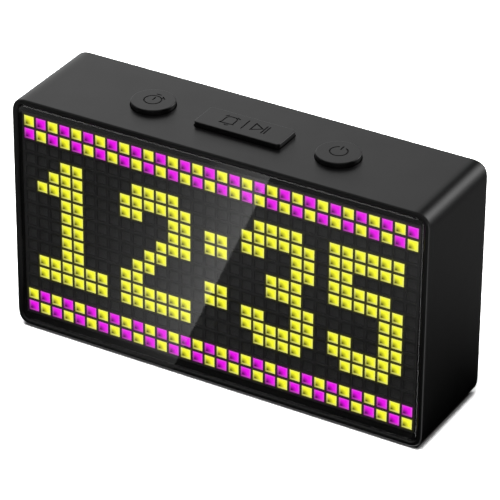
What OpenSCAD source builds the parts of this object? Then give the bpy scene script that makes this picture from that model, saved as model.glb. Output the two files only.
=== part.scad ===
// Desk alarm clock with a matrix of square lit pixels behind a smoked window.
// Millimetres. X is the width, the window faces -Y and Z is up.
// The origin is on the floor under the middle of the clock.

/* [Display] */
// Distance between neighbouring pixels, across
pitch_x = 5; // [4.7:0.1:6.5]
// Distance between neighbouring pixels, down
pitch_z = 5.15; // [4.7:0.05:6.5]
// Pixels across
columns = 32; // [32:1:40]
// Pixels down
rows = 16; // [16:1:20]
// Side of each square light well
well = 4; // [3.2:0.1:4.4]
// Depth of the lens faces behind the front of the grid
lens_recess = 0.6; // [0.2:0.1:1.5]
// Thickness of the sheet that joins the lenses
plate_t = 1; // [0.6:0.1:2]
// Thickness of the grid's flange behind the housing's ledge
flange_t = 1.9; // [1:0.1:4]
// Room for the LEDs between the lens plate and their board
led_room = 1.3; // [1:0.1:3]
// Side of each square LED
led_w = 2; // [1:0.1:3]
// Height of each LED
led_t = 0.9; // [0.5:0.1:1]

/* [Housing] */
// Depth from the rim to the back
body_d = 44; // [40:0.2:60]
// Wall thickness, which is the width of the rim too
wall = 2.2; // [1.8:0.1:3]
// Corner radius seen from the front
corner_r = 5; // [4:0.1:8]
// Rounding of the rim's outer edge
front_fillet = 1.1; // [0.3:0.1:1.5]
// Rounding of the back edge
back_fillet = 1; // [0.3:0.1:1.5]
// Gap between the pixels and the rim at the sides
side_margin = 1.9; // [0.9:0.1:8]
// Gap between the pixels and the rim above and below
end_margin = 3.7; // [3.6:0.1:12]
// Thickness of the ledge that carries the window and the display
ledge_t = 2; // [1.2:0.1:4]
// Thickness of the rear cover
cover_t = 2.6; // [2.2:0.1:4]

/* [Window] */
// Thickness of the window
window_t = 0.8; // [0.6:0.1:2.5]
// Depth of the window behind the rim
window_recess = 0.15; // [0:0.05:1]
// Bevel on the window's front edge
window_bevel = 0.25; // [0.1:0.05:0.4]
// Thickness of the adhesive strips
tape_t = 0.2; // [0.1:0.05:0.5]
// Height of the adhesive strips
tape_h = 2.4; // [1.5:0.1:2.8]

/* [Buttons] */
// Diameter of the two round buttons
round_d = 16.2; // [12:0.1:18]
// Distance of each round button from the middle of the clock
round_x = 37.5; // [36.5:0.1:45]
// Width of the bar button
bar_w = 34.6; // [24:0.2:36]
// Depth of the bar button
bar_d = 12.8; // [8:0.2:16]
// Corner radius of the bar button
bar_r = 1.4; // [1:0.1:3]
// Distance of the buttons behind the rim
button_depth = 20.9; // [19.5:0.1:26]
// Height of the buttons above the housing
button_proud = 1.9; // [1:0.1:4]
// Rounding of the buttons' top edges
button_fillet = 0.35; // [0.1:0.05:0.8]
// Press travel
travel = 0.5; // [0.2:0.05:0.8]
// Flange that stops each button under the top wall
stop_t = 1.2; // [0.8:0.1:2]
// Reach of that flange past the button's side
stop_reach = 1.5; // [1:0.1:2]

/* [Button switches] */
// Distance of the button board below the top wall
switch_drop = 7; // [6.6:0.1:10]
// Side of each switch body
switch_w = 6; // [5:0.1:8]
// Height of each switch body
switch_h = 3.5; // [3:0.1:4]
// Diameter of each switch plunger
plunger_d = 3.4; // [2:0.1:4]
// Height of a plunger above its switch
plunger_proud = 1; // [0.9:0.1:1.4]
// Diameter of the bosses that guide the flanges and carry the board
guide_d = 5; // [4:0.1:6]
// Distance of each outer boss from its round button
guide_reach = 13.2; // [13.2:0.1:16]
// Distance of each inner boss from the middle
guide_x = 22.6; // [22.2:0.1:23]

/* [Boards] */
// Thickness of every circuit board
board_t = 1.6; // [1:0.1:2.4]
// Width of the main board
main_w = 66; // [62:1:68]
// Height of the main board
main_h = 58; // [56:1:64]
// Middle of the main board, across from the middle of the clock
main_x = 32; // [30:0.5:33]
// Middle of the main board, above the middle of the clock
main_z = -7; // [-8:0.5:-4]
// Height of the standoffs under the main board
standoff_h = 6; // [5:0.5:9]
// Inset of the main board's screws from its edges
main_inset = 4; // [3:0.1:5]
// Diameter of the coin cell
cell_d = 20; // [16:0.5:20]
// Thickness of the coin cell
cell_t = 3.2; // [1.6:0.2:4]

/* [USB-C inlet] */
// Width of the inlet's shell
usb_w = 8.94; // [8.5:0.02:9.5]
// Height of the inlet's shell
usb_h = 3.26; // [3:0.02:3.6]
// Thickness of the shell's wall
usb_wall = 0.3; // [0.2:0.05:0.4]
// Depth of the inlet behind its mouth
usb_depth = 6; // [4:0.1:6.5]
// Height of the inlet above the bottom of the main board
usb_up = 9; // [7:0.5:11]

/* [Speaker] */
// Diameter of the speaker's flange
speaker_d = 40; // [36:0.5:44]
// Middle of the speaker, across from the middle of the clock
speaker_x = -40; // [-44:0.5:-38]
// Middle of the speaker, above the middle of the clock
speaker_z = -4; // [-8:0.5:4]
// Depth of the speaker's basket
basket_h = 10; // [8:0.5:14]
// Diameter of the magnet
magnet_d = 24; // [18:0.5:26]
// Thickness of the magnet
magnet_t = 8; // [5:0.5:9]
// Thickness of the gasket under the flange
gasket_t = 1; // [0.8:0.1:2]
// Diameter of each grille hole
grille_d = 2; // [1:0.1:2.6]
// Distance between the rings of grille holes
grille_step = 3.6; // [3.2:0.1:4]

/* [Feet and screws] */
// Diameter of the rubber feet
foot_d = 9; // [6:0.5:12]
// Thickness of the rubber feet
foot_t = 2.2; // [1.6:0.1:2.4]
// Height of the feet below the housing
foot_proud = 0.8; // [0.5:0.1:1.2]
// Distance of the feet from the clock's sides
foot_inset_x = 16; // [12:0.5:30]
// Distance of the feet from its front and back
foot_inset_y = 8.5; // [7.5:0.5:14]
// Diameter of the cover screws
cover_screw_d = 2.4; // [2:0.1:3]
// Length of the cover screws below their heads
cover_screw_l = 9; // [6:0.5:11]
// Diameter of the board screws
board_screw_d = 1.6; // [1.4:0.1:2]

/* [Hidden] */
$fn = 48;
overcut = 1;
root = 0.4;

// Clearances
window_clear = 0.15;
grid_clear = 0.2;
stack_clear = 0.3;
lens_clear = 0.15;
led_clear = 0.1;
cover_clear = 0.2;
button_clear = 0.25;
guide_clear = 0.3;
plunger_clear = 0.1;
thread_clear = 0.05;
hole_clear = 0.2;
cell_clear = 0.15;
usb_clear = 0.3;
foot_clear = 0.2;
speaker_clear = 0.2;

// Overall sizes
active_w = columns * pitch_x;
active_h = rows * pitch_z;
open_w = active_w + 2 * side_margin;
open_h = active_h + 2 * end_margin;
body_w = open_w + 2 * wall;
body_h = open_h + 2 * wall;
inner_r = corner_r - wall;
front_y = -body_d / 2;
mid_z = foot_proud + body_h / 2;
top_z = foot_proud + body_h;
ceiling_z = top_z - wall;

// Depths of the display stack behind the rim
window_back = window_recess + window_t;
ledge_front = window_back + tape_t;
ledge_back = ledge_front + ledge_t;
grid_front = window_back + led_clear;
grid_back = ledge_back + flange_t;
lens_front = grid_front + lens_recess;
plate_back = grid_back + plate_t;
led_board_front = plate_back + led_room;
led_board_back = led_board_front + board_t;

// Outlines of the display stack
grid_w = active_w + pitch_x - well;
grid_h = active_h + pitch_z - well;
stack_w = open_w - 2 * stack_clear;
stack_h = open_h - 2 * stack_clear;
stack_r = inner_r - stack_clear;
strip_h = open_h / 2 - grid_h / 2 - grid_clear;
lens_w = well - 2 * lens_clear;
lens_l = grid_back - lens_front + root;

// Screws: pan heads in proportion to their shafts
function head_d(d) = 2 * d;
function head_h(d) = 0.6 * d;
function pilot_d(d) = d + 2 * thread_clear;
function pass_d(d) = d + 2 * hole_clear;
slot_w = 0.4;
head_sink = 0.1;

// Bosses that the LED board is screwed to
display_boss_d = board_screw_d + 1.4;
display_boss_z = open_h / 2 - strip_h / 2;
display_head_d = min(head_d(board_screw_d), strip_h - 2 * led_clear);
display_columns = 4;
display_step = 44;
display_bite = 3;
display_places = [
    for (i = [0:display_columns - 1], s = [-1, 1])
        [(i - (display_columns - 1) / 2) * display_step, s * display_boss_z]
];

// Corner posts for the rear cover
cover_front = body_d - cover_t;
cover_w = open_w - 2 * cover_clear;
cover_h = open_h - 2 * cover_clear;
post_d = 9;
post_inset = 4;
post_l = 14;
post_x = open_w / 2 - post_inset;
post_z = open_h / 2 - post_inset;
post_places = [for (x = [-post_x, post_x], z = [-post_z, post_z]) [x, z]];
counterbore_h = head_h(cover_screw_d) + head_sink;

// Buttons, their guides and their switches
button_y = front_y + button_depth;
button_base_z = ceiling_z - stop_t;
button_board_z = ceiling_z - switch_drop;
stem_z = button_board_z + switch_h + plunger_proud;
stem_d = plunger_d + 1.6;
plunger_sink = 1;
tab_d = guide_d + 2 * guide_clear + 2.8;
outer_guide_x = round_x + guide_reach;
guide_places = [-outer_guide_x, -guide_x, guide_x, outer_guide_x];
switch_places = [-round_x, 0, round_x];
button_board_w = 2 * outer_guide_x + guide_d + 4;
button_board_d = 14;

// Main board and what stands on it
main_back = cover_front - standoff_h;
main_front = main_back - board_t;
standoff_d = 5;
main_places = [
    for (x = [-1, 1], z = [-1, 1])
        [main_x + x * (main_w / 2 - main_inset), main_z + z * (main_h / 2 - main_inset)]
];
main_bite = 3.6;
board_r = 2;
usb_x = main_x;
usb_z = main_z - main_h / 2 + usb_up;
usb_mouth = body_d - 0.2;
usb_r = usb_h / 2 - 0.05;
tongue_w = 6.7;
tongue_h = 0.7;
holder_wall = 1.4;
holder_floor = 1;
cell_in_x = 18;
cell_in_z = 16;
cell_x = main_x - main_w / 2 + cell_in_x;
cell_z = main_z - main_h / 2 + cell_in_z;
controller_w = 14;
controller_t = 1.4;
controller_in = 17;
controller_up = 31;
controller_x = main_x + main_w / 2 - controller_in;
controller_z = main_z - main_h / 2 + controller_up;
socket_t = 3;
socket_h = 4;
socket_side = 1.5;
socket_gap = 1.2;
plug_w = 5;
plug_in = 6;
plug_x = main_x - main_w / 2 + plug_in;

// Small parts on the main board
cap_d = 6.3;
cap_h = 5.8;
cap_step = 7.8;
cap_in_x = 23;
cap_in_z = 11;
cap_x = main_x + main_w / 2 - cap_in_x;
cap_z = main_z + main_h / 2 - cap_in_z;
coil_w = 6;
coil_h = 3;
coil_in_x = 12;
coil_in_z = 7;
coil_x = main_x + main_w / 2 - coil_in_x;
coil_z = main_z - main_h / 2 + coil_in_z;
regulator_w = 7;
regulator_t = 1.6;
regulator_in_x = 24;
regulator_in_z = 5;
regulator_x = main_x + main_w / 2 - regulator_in_x;
regulator_z = main_z - main_h / 2 + regulator_in_z;
clock_w = 5;
clock_off_x = 3;
clock_in_z = 20;
clock_x = main_x - clock_off_x;
clock_z = main_z + main_h / 2 - clock_in_z;

// Chips that drive the LEDs
driver_w = 6;
driver_h = 8;
driver_t = 1.2;
driver_step = 36;
driver_z = 24;

// Speaker, carried by the rear cover
speaker_face = cover_front - gasket_t;
speaker_flange_t = 1.5;
basket_wall = 1;
surround_w = 1.2;
surround_t = 0.6;
basket_floor_r = magnet_d / 2 + 0.5;
coil_r = 6;
ear_d = 7;
ear_pcd = speaker_d + 5;
ear_boss_d = 6;
gasket_d = ear_pcd - ear_boss_d - 2 * speaker_clear;
ear_places = [
    for (a = [45:90:315])
        [speaker_x + ear_pcd / 2 * cos(a), speaker_z + ear_pcd / 2 * sin(a)]
];
speaker_open_r = speaker_d / 2 - 2.5;
speaker_bite = gasket_t + 1.2;
lead_d = 1.2;
lead_gap = 3;
lead_depth = main_front - 2;
terminal_x = speaker_x + speaker_d / 2 + 2;
grille_rings = 4;

// Ribbons
ribbon_t = 0.3;
ribbon_bend = 3;
display_ribbon_w = 16;
display_ribbon_in = 21;
display_ribbon_x = main_x + main_w / 2 - display_ribbon_in;
display_ribbon_top = 13;
display_ribbon_up = 14;
display_ribbon_low = main_z - main_h / 2 + display_ribbon_up;
button_ribbon_w = 8;
button_ribbon_x = guide_x - head_d(board_screw_d) / 2 - socket_gap - socket_side - button_ribbon_w / 2;
button_ribbon_depth = button_depth + 2.2;
button_ribbon_z = main_z + main_h / 2 - 5;

// Signs that the pixels show, as strokes [column, row, width, height] in a cell of 6 by 10
ONE = [[2, 0, 2, 8], [1, 1, 1, 2], [0, 2, 1, 1], [0, 8, 6, 2]];
TWO = [
    [1, 0, 4, 1], [0, 1, 6, 1], [0, 2, 2, 1], [4, 2, 2, 2], [3, 4, 3, 1],
    [2, 5, 2, 1], [1, 6, 2, 1], [0, 7, 2, 1], [0, 8, 6, 2]
];
THREE = [
    [1, 0, 4, 1], [0, 1, 6, 1], [0, 2, 2, 1], [4, 2, 2, 2], [2, 4, 3, 2],
    [4, 6, 2, 2], [0, 7, 2, 1], [0, 8, 6, 1], [1, 9, 4, 1]
];
FIVE = [
    [0, 0, 6, 2], [0, 2, 2, 1], [0, 3, 5, 1], [0, 4, 6, 1],
    [4, 5, 2, 3], [0, 7, 2, 1], [0, 8, 6, 1], [1, 9, 4, 1]
];
COLON = [[0, 2, 2, 2], [0, 6, 2, 2]];
// The first column of each sign, on a face of 32 by 16 pixels
SIGNS = [[1, ONE], [8, TWO], [15, COLON], [18, THREE], [25, FIVE]];
sign_row = 3;
border_rows = 2;
shift_x = floor((columns - 32) / 2);
shift_y = floor((rows - 16) / 2);
DARK = 0;
YELLOW = 1;
MAGENTA = 2;

function covers(s, c, r) = c >= s[0] && c < s[0] + s[2] && r >= s[1] && r < s[1] + s[3];
function in_sign(c, r) = len([
    for (sign = SIGNS, s = sign[1])
        if (covers(s, c - shift_x - sign[0], r - shift_y - sign_row)) 1
]) > 0;
function in_border(r) = r < border_rows || r >= rows - border_rows;
function shown(c, r) = in_border(r) ? ((c + r) % 2 == 0 ? YELLOW : MAGENTA) : in_sign(c, r) ? YELLOW : DARK;

// Points along an arc
function arc(x, y, r, a0, a1, n = 6) = [
    for (i = [0:n]) [x + r * cos(a0 + (a1 - a0) * i / n), y + r * sin(a0 + (a1 - a0) * i / n)]
];

// Half section through the edge of a rounded block, rounded at its low and high ends
function edge_section(r, t, low, high) = concat(
    [[0, 0]], arc(r - low, low, low, -90, 0), arc(r - high, t - high, high, 0, 90), [[0, t]]
);

// Block with rounded corners in plan and rounded edges at both ends
module rounded_block(w, h, t, r, low, high) {
    translate([r - w / 2, r - h / 2, 0]) cube([w - 2 * r, h - 2 * r, t]);
    for (turn = [0, 180])
        rotate(turn) {
            translate([w / 2 - r, h / 2 - r, 0])
                rotate([90, 0, 0]) linear_extrude(h - 2 * r) polygon(edge_section(r, t, low, high));
            translate([r - w / 2, h / 2 - r, 0])
                rotate([90, 0, 90]) linear_extrude(w - 2 * r) polygon(edge_section(r, t, low, high));
            translate([w / 2 - r, h / 2 - r, 0])
                rotate_extrude(angle = 90) polygon(edge_section(r, t, low, high));
            translate([r - w / 2, h / 2 - r, 0])
                rotate(90) rotate_extrude(angle = 90) polygon(edge_section(r, t, low, high));
        }
}

// Rectangle with round corners
module rounded_outline(w, h, r) {
    square([w - 2 * r, h], center = true);
    square([w, h - 2 * r], center = true);
    for (x = [-1, 1], y = [-1, 1])
        translate([x * (w / 2 - r), y * (h / 2 - r)]) circle(r);
}

// Outline parallel to the front, thickened backwards from a depth behind the rim
module slab(depth, t) {
    translate([0, front_y + depth + t, mid_z]) rotate([90, 0, 0]) linear_extrude(t) children();
}

// Children that point backwards or forwards from a depth behind the rim
module backwards(depth, x, z) {
    translate([x, front_y + depth, mid_z + z]) rotate([-90, 0, 0]) children();
}
module forwards(depth, x, z) {
    translate([x, front_y + depth, mid_z + z]) rotate([90, 0, 0]) children();
}

// Box on a board: its middle, its size and the depth of its front face
module board_box(x, z, w, h, depth, t) {
    translate([x - w / 2, front_y + depth, mid_z + z - h / 2]) cube([w, t, h]);
}

// Section in depth and height, swept across the clock
module across(x, w) {
    translate([x - w / 2, front_y, mid_z]) rotate([90, 0, 90]) linear_extrude(w) children();
}

// One square of the given side at each pixel of one state, or at every pixel
module pixels(side, state = undef) {
    for (c = [0:columns - 1], r = [0:rows - 1])
        if (is_undef(state) || shown(c, r) == state)
            translate([(c - (columns - 1) / 2) * pitch_x, ((rows - 1) / 2 - r) * pitch_z])
                square(side, center = true);
}

// Pan-head screw with a cross recess: its head stands on z = 0
module screw(d, l, head) {
    head_w = is_undef(head) ? head_d(d) : head;
    difference() {
        union() {
            translate([0, 0, -l]) cylinder(d = d, h = l + root);
            cylinder(d = head_w, h = head_h(d));
        }
        for (turn = [0, 90])
            rotate(turn)
                translate([-head_w * 0.3, -slot_w / 2, head_h(d) * 0.5])
                    cube([head_w * 0.6, slot_w, d]);
    }
}

// Outline of the plates clamped in the display stack, notched round the bosses
module stack_outline() {
    difference() {
        rounded_outline(stack_w, stack_h, stack_r);
        for (p = display_places)
            translate(p) circle(d = display_boss_d + 2 * stack_clear);
    }
}

module housing() {
    color("#2b2b2d")
        difference() {
            union() {
                difference() {
                    backwards(0, 0, 0)
                        rounded_block(body_w, body_h, body_d, corner_r, front_fillet, back_fillet);
                    slab(-overcut, ledge_front + overcut) rounded_outline(open_w, open_h, inner_r);
                    slab(0, ledge_back + overcut)
                        square([grid_w + 2 * grid_clear, grid_h + 2 * grid_clear], center = true);
                    slab(ledge_back, body_d) rounded_outline(open_w, open_h, inner_r);
                }
                for (p = display_places)
                    backwards(ledge_back - root, p[0], p[1])
                        cylinder(d = display_boss_d, h = led_board_front - ledge_back + root);
                for (p = post_places)
                    backwards(cover_front - post_l, p[0], p[1]) cylinder(d = post_d, h = post_l);
                for (x = guide_places)
                    translate([x, button_y, button_board_z])
                        cylinder(d = guide_d, h = switch_drop + root);
            }
            for (p = display_places)
                forwards(led_board_front + overcut, p[0], p[1])
                    cylinder(d = pilot_d(board_screw_d), h = display_bite + overcut + root);
            for (p = post_places)
                forwards(cover_front + overcut, p[0], p[1])
                    cylinder(d = pilot_d(cover_screw_d), h = cover_screw_l + overcut);
            for (x = guide_places)
                translate([x, button_y, button_board_z - overcut])
                    cylinder(d = pilot_d(board_screw_d), h = main_bite + overcut + root);
            for (x = [-round_x, round_x])
                translate([x, button_y, ceiling_z - overcut])
                    cylinder(d = round_d + 2 * button_clear, h = wall + 2 * overcut);
            translate([0, button_y, ceiling_z - overcut])
                linear_extrude(wall + 2 * overcut)
                    rounded_outline(bar_w + 2 * button_clear, bar_d + 2 * button_clear, bar_r + button_clear);
            foot_places()
                translate([0, 0, -overcut])
                    cylinder(d = foot_d + 2 * foot_clear, h = foot_t + overcut);
        }
}

module front_window() {
    color([0.16, 0.16, 0.18, 0.45])
        backwards(window_recess, 0, 0)
            rounded_block(
                open_w - 2 * window_clear, open_h - 2 * window_clear, window_t,
                inner_r - window_clear, window_bevel, window_bevel / 2
            );
}

module window_tape() {
    color("#50524f")
        for (s = [-1, 1])
            translate([0, 0, s * display_boss_z])
                slab(window_back, tape_t) square([active_w, tape_h], center = true);
}

module pixel_grid() {
    color("#202022") {
        slab(grid_front, grid_back - grid_front)
            difference() {
                square([grid_w, grid_h], center = true);
                pixels(well);
            }
        slab(ledge_back, flange_t)
            difference() {
                stack_outline();
                square([grid_w - 2 * root, grid_h - 2 * root], center = true);
            }
    }
}

module lens_plate() {
    color("#d8d8d2") {
        slab(grid_back, plate_t) stack_outline();
        slab(plate_back - root, led_room + root)
            difference() {
                stack_outline();
                square([active_w, active_h], center = true);
            }
    }
    color("#f4f038") slab(lens_front, lens_l) pixels(lens_w, YELLOW);
    color("#ee3aec") slab(lens_front, lens_l) pixels(lens_w, MAGENTA);
    color("#3a3a3c") slab(lens_front, lens_l) pixels(lens_w, DARK);
}

module led_board() {
    color("#1c4a34")
        slab(led_board_front, board_t)
            difference() {
                rounded_outline(stack_w, stack_h, stack_r);
                for (p = display_places)
                    translate(p) circle(d = pass_d(board_screw_d));
            }
}

module led_chips() {
    color("#f2efe2") slab(led_board_front - led_t, led_t) pixels(led_w);
}

module led_drivers() {
    color("#1a1a1c")
        for (i = [-1.5:1.5], z = [-driver_z, driver_z])
            board_box(i * driver_step, z, driver_w, driver_h, led_board_back, driver_t);
}

module display_screws() {
    color("#8d9094")
        for (p = display_places)
            backwards(led_board_back, p[0], p[1])
                screw(board_screw_d, board_t + display_bite, display_head_d);
}

// Ribbon that steps down between the LED board and the main board
module display_ribbon() {
    h = ribbon_t / 2;
    start = led_board_back + socket_t;
    end = main_front - socket_t;
    turn = (start + end) / 2;
    top = display_ribbon_top;
    low = display_ribbon_low;
    color("#e6e2d4")
        across(display_ribbon_x, display_ribbon_w)
            polygon(concat(
                [[start, top + h]],
                arc(turn - ribbon_bend, top - ribbon_bend, ribbon_bend + h, 90, 0),
                arc(turn + ribbon_bend, low + ribbon_bend, ribbon_bend - h, 180, 270),
                [[end, low + h], [end, low - h]],
                arc(turn + ribbon_bend, low + ribbon_bend, ribbon_bend + h, 270, 180),
                arc(turn - ribbon_bend, top - ribbon_bend, ribbon_bend - h, 0, 90),
                [[start, top - h]]
            ));
}

// Ribbon that drops from the button board and turns back to the main board
module button_ribbon() {
    h = ribbon_t / 2;
    depth = button_ribbon_depth;
    start = button_board_z - board_t - socket_t - mid_z;
    end = main_front - socket_t;
    low = button_ribbon_z;
    color("#e6e2d4")
        across(button_ribbon_x, button_ribbon_w)
            polygon(concat(
                [[depth + h, start]],
                arc(depth + ribbon_bend, low + ribbon_bend, ribbon_bend - h, 180, 270),
                [[end, low + h], [end, low - h]],
                arc(depth + ribbon_bend, low + ribbon_bend, ribbon_bend + h, 270, 180),
                [[depth - h, start]]
            ));
}

module ribbon_sockets() {
    display_w = display_ribbon_w + 2 * socket_side;
    button_w = button_ribbon_w + 2 * socket_side;
    color("#e9e5da") {
        board_box(display_ribbon_x, display_ribbon_top, display_w, socket_h, led_board_back, socket_t);
        board_box(display_ribbon_x, display_ribbon_low, display_w, socket_h, main_front - socket_t, socket_t);
        board_box(button_ribbon_x, button_ribbon_z, button_w, socket_h, main_front - socket_t, socket_t);
        translate([
            button_ribbon_x - button_w / 2,
            front_y + button_ribbon_depth - socket_h / 2,
            button_board_z - board_t - socket_t
        ])
            cube([button_w, socket_h, socket_t]);
    }
}

module main_board() {
    color("#1f5138")
        slab(main_front, board_t)
            difference() {
                translate([main_x, main_z]) rounded_outline(main_w, main_h, board_r);
                for (p = main_places)
                    translate(p) circle(d = pass_d(board_screw_d));
            }
}

module controller_chip() {
    color("#171719")
        board_box(
            controller_x, controller_z, controller_w, controller_w,
            main_front - controller_t, controller_t
        );
}

module board_parts() {
    color("#303236") {
        for (i = [0:2])
            forwards(main_front, cap_x + i * cap_step, cap_z) cylinder(d = cap_d, h = cap_h);
        board_box(coil_x, coil_z, coil_w, coil_w, main_front - coil_h, coil_h);
        board_box(regulator_x, regulator_z, regulator_w, regulator_w, main_front - regulator_t, regulator_t);
        board_box(clock_x, clock_z, clock_w, clock_w, main_front - regulator_t, regulator_t);
        board_box(
            plug_x, speaker_z, plug_w, lead_gap + socket_h,
            main_front - socket_h, socket_h
        );
    }
}

module main_board_screws() {
    color("#8d9094")
        for (p = main_places)
            forwards(main_front, p[0], p[1]) screw(board_screw_d, board_t + main_bite);
}

module usb_socket() {
    color("#b4b6b8")
        difference() {
            slab(main_back, usb_mouth - main_back)
                translate([usb_x, usb_z]) rounded_outline(usb_w, usb_h, usb_r);
            slab(usb_mouth - usb_depth, usb_depth + overcut)
                translate([usb_x, usb_z])
                    rounded_outline(usb_w - 2 * usb_wall, usb_h - 2 * usb_wall, usb_r - usb_wall);
        }
}

module usb_tongue() {
    tongue_l = usb_depth - 0.8;
    color("#1d1d1f")
        board_box(usb_x, usb_z, tongue_w, tongue_h, usb_mouth - usb_depth, tongue_l);
}

module coin_cell_holder() {
    holder_w = cell_d + 2 * cell_clear + 2 * holder_wall;
    holder_h = holder_floor + cell_t;
    color("#232325")
        difference() {
            board_box(cell_x, cell_z, holder_w, holder_w, main_front - holder_h, holder_h);
            forwards(main_front - holder_floor, cell_x, cell_z)
                cylinder(d = cell_d + 2 * cell_clear, h = cell_t + overcut);
        }
}

module coin_cell() {
    color("#c9cbcd")
        forwards(main_front - holder_floor, cell_x, cell_z) cylinder(d = cell_d, h = cell_t);
}

module speaker_gasket() {
    color("#3b3b3d")
        forwards(cover_front, speaker_x, speaker_z)
            difference() {
                cylinder(d = gasket_d, h = gasket_t);
                translate([0, 0, -overcut]) cylinder(r = speaker_open_r, h = gasket_t + 2 * overcut);
            }
}

// Round basket with four ears and two terminal tabs
module speaker_frame() {
    seat = surround_t + 0.2;
    inside = [
        [speaker_open_r, 0], [speaker_open_r, seat], [speaker_open_r - surround_w, seat],
        [basket_floor_r - basket_wall, basket_h - basket_wall], [coil_r + 1, basket_h - basket_wall]
    ];
    outside = [
        [coil_r + 1, basket_h], [basket_floor_r, basket_h],
        [speaker_d / 2 - 1, speaker_flange_t], [speaker_d / 2, speaker_flange_t], [speaker_d / 2, 0]
    ];
    color("#4a4c50") {
        forwards(speaker_face, speaker_x, speaker_z) rotate_extrude() polygon(concat(inside, outside));
        slab(speaker_face - speaker_flange_t, speaker_flange_t)
            difference() {
                for (p = ear_places)
                    translate(p) circle(d = ear_d);
                translate([speaker_x, speaker_z]) circle(r = speaker_d / 2 - 1);
                for (p = ear_places)
                    translate(p) circle(d = pass_d(board_screw_d));
            }
        translate([speaker_x + speaker_d / 2 - 2, front_y + lead_depth - 1, mid_z + speaker_z - lead_gap])
            cube([terminal_x - speaker_x - speaker_d / 2 + 2, speaker_face - lead_depth, 2 * lead_gap]);
    }
}

module speaker_cone() {
    rim_r = speaker_open_r - speaker_clear;
    seat = surround_t + 0.2;
    dip = basket_h * 0.6;
    color("#151517")
        forwards(speaker_face, speaker_x, speaker_z)
            rotate_extrude()
                polygon([
                    [0, dip - 2], [coil_r * 0.6, dip - 1.4], [coil_r, dip - 0.3],
                    [rim_r - surround_w, 0.2], [rim_r, 0.2], [rim_r, seat],
                    [rim_r - surround_w - 0.3, seat], [coil_r, dip + 0.4], [0, dip - 1.2]
                ]);
}

module speaker_magnet() {
    color("#6c6e72")
        forwards(speaker_face - basket_h, speaker_x, speaker_z) cylinder(d = magnet_d, h = magnet_t);
}

module speaker_screws() {
    color("#8d9094")
        for (p = ear_places)
            forwards(speaker_face - speaker_flange_t, p[0], p[1])
                screw(board_screw_d, speaker_flange_t + speaker_bite);
}

module speaker_leads() {
    end_x = plug_x - plug_w / 2;
    color("#b02a2a")
        for (s = [-1, 1])
            translate([terminal_x, front_y + lead_depth, mid_z + speaker_z + s * lead_gap / 2])
                rotate([0, 90, 0]) cylinder(d = lead_d, h = end_x - terminal_x);
}

module button_board() {
    color("#1f5138")
        translate([0, button_y, button_board_z - board_t])
            linear_extrude(board_t)
                difference() {
                    square([button_board_w, button_board_d], center = true);
                    for (x = guide_places)
                        translate([x, 0]) circle(d = pass_d(board_screw_d));
                }
}

module switch_bodies() {
    color("#26282a")
        for (x = switch_places)
            translate([x, button_y, button_board_z])
                difference() {
                    translate([-switch_w / 2, -switch_w / 2, 0]) cube([switch_w, switch_w, switch_h]);
                    translate([0, 0, switch_h - plunger_sink - travel - plunger_clear])
                        cylinder(d = plunger_d + 2 * plunger_clear, h = switch_h);
                }
}

module button_board_screws() {
    color("#8d9094")
        for (x = guide_places)
            translate([x, button_y, button_board_z - board_t])
                rotate([180, 0, 0]) screw(board_screw_d, board_t + main_bite);
}

// Plunger of the switch under one button
module plunger(x) {
    color("#d9d4c6")
        translate([x, button_y, button_board_z + switch_h - plunger_sink])
            cylinder(d = plunger_d, h = plunger_sink + plunger_proud);
}

module timer_plunger() {
    plunger(-round_x);
}

module alarm_plunger() {
    plunger(0);
}

module power_plunger() {
    plunger(round_x);
}

// Flange under a button: its outline and a ring round each guide boss
module stop_flange(guides) {
    linear_extrude(stop_t)
        difference() {
            union() {
                children();
                for (x = guides)
                    translate([x, 0]) circle(d = tab_d);
            }
            for (x = guides)
                translate([x, 0]) circle(d = guide_d + 2 * guide_clear);
        }
}

// Stem from a button's flange down to its plunger
module stem() {
    translate([0, 0, stem_z - button_base_z]) cylinder(d = stem_d, h = button_base_z - stem_z + root);
}

// Round button whose flange slides on the outer boss at one side
module round_button(side) {
    cap_h = top_z + button_proud - button_base_z;
    color("#303032")
        translate([side * round_x, button_y, button_base_z]) {
            rotate_extrude() polygon(edge_section(round_d / 2, cap_h, 0, button_fillet));
            stop_flange([side * guide_reach]) {
                circle(d = round_d + 2 * stop_reach);
                translate([side * guide_reach / 2, 0])
                    square([guide_reach - guide_d, guide_d], center = true);
            }
            stem();
        }
}

module timer_button() {
    round_button(-1);
}

module power_button() {
    round_button(1);
}

// Bar button whose flange slides on both inner bosses
module alarm_button() {
    cap_h = top_z + button_proud - button_base_z;
    color("#303032")
        translate([0, button_y, button_base_z]) {
            rounded_block(bar_w, bar_d, cap_h, bar_r, 0, button_fillet);
            stop_flange([-guide_x, guide_x])
                square([bar_w + 2 * stop_reach, bar_d + 2 * stop_reach], center = true);
            stem();
        }
}

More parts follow.
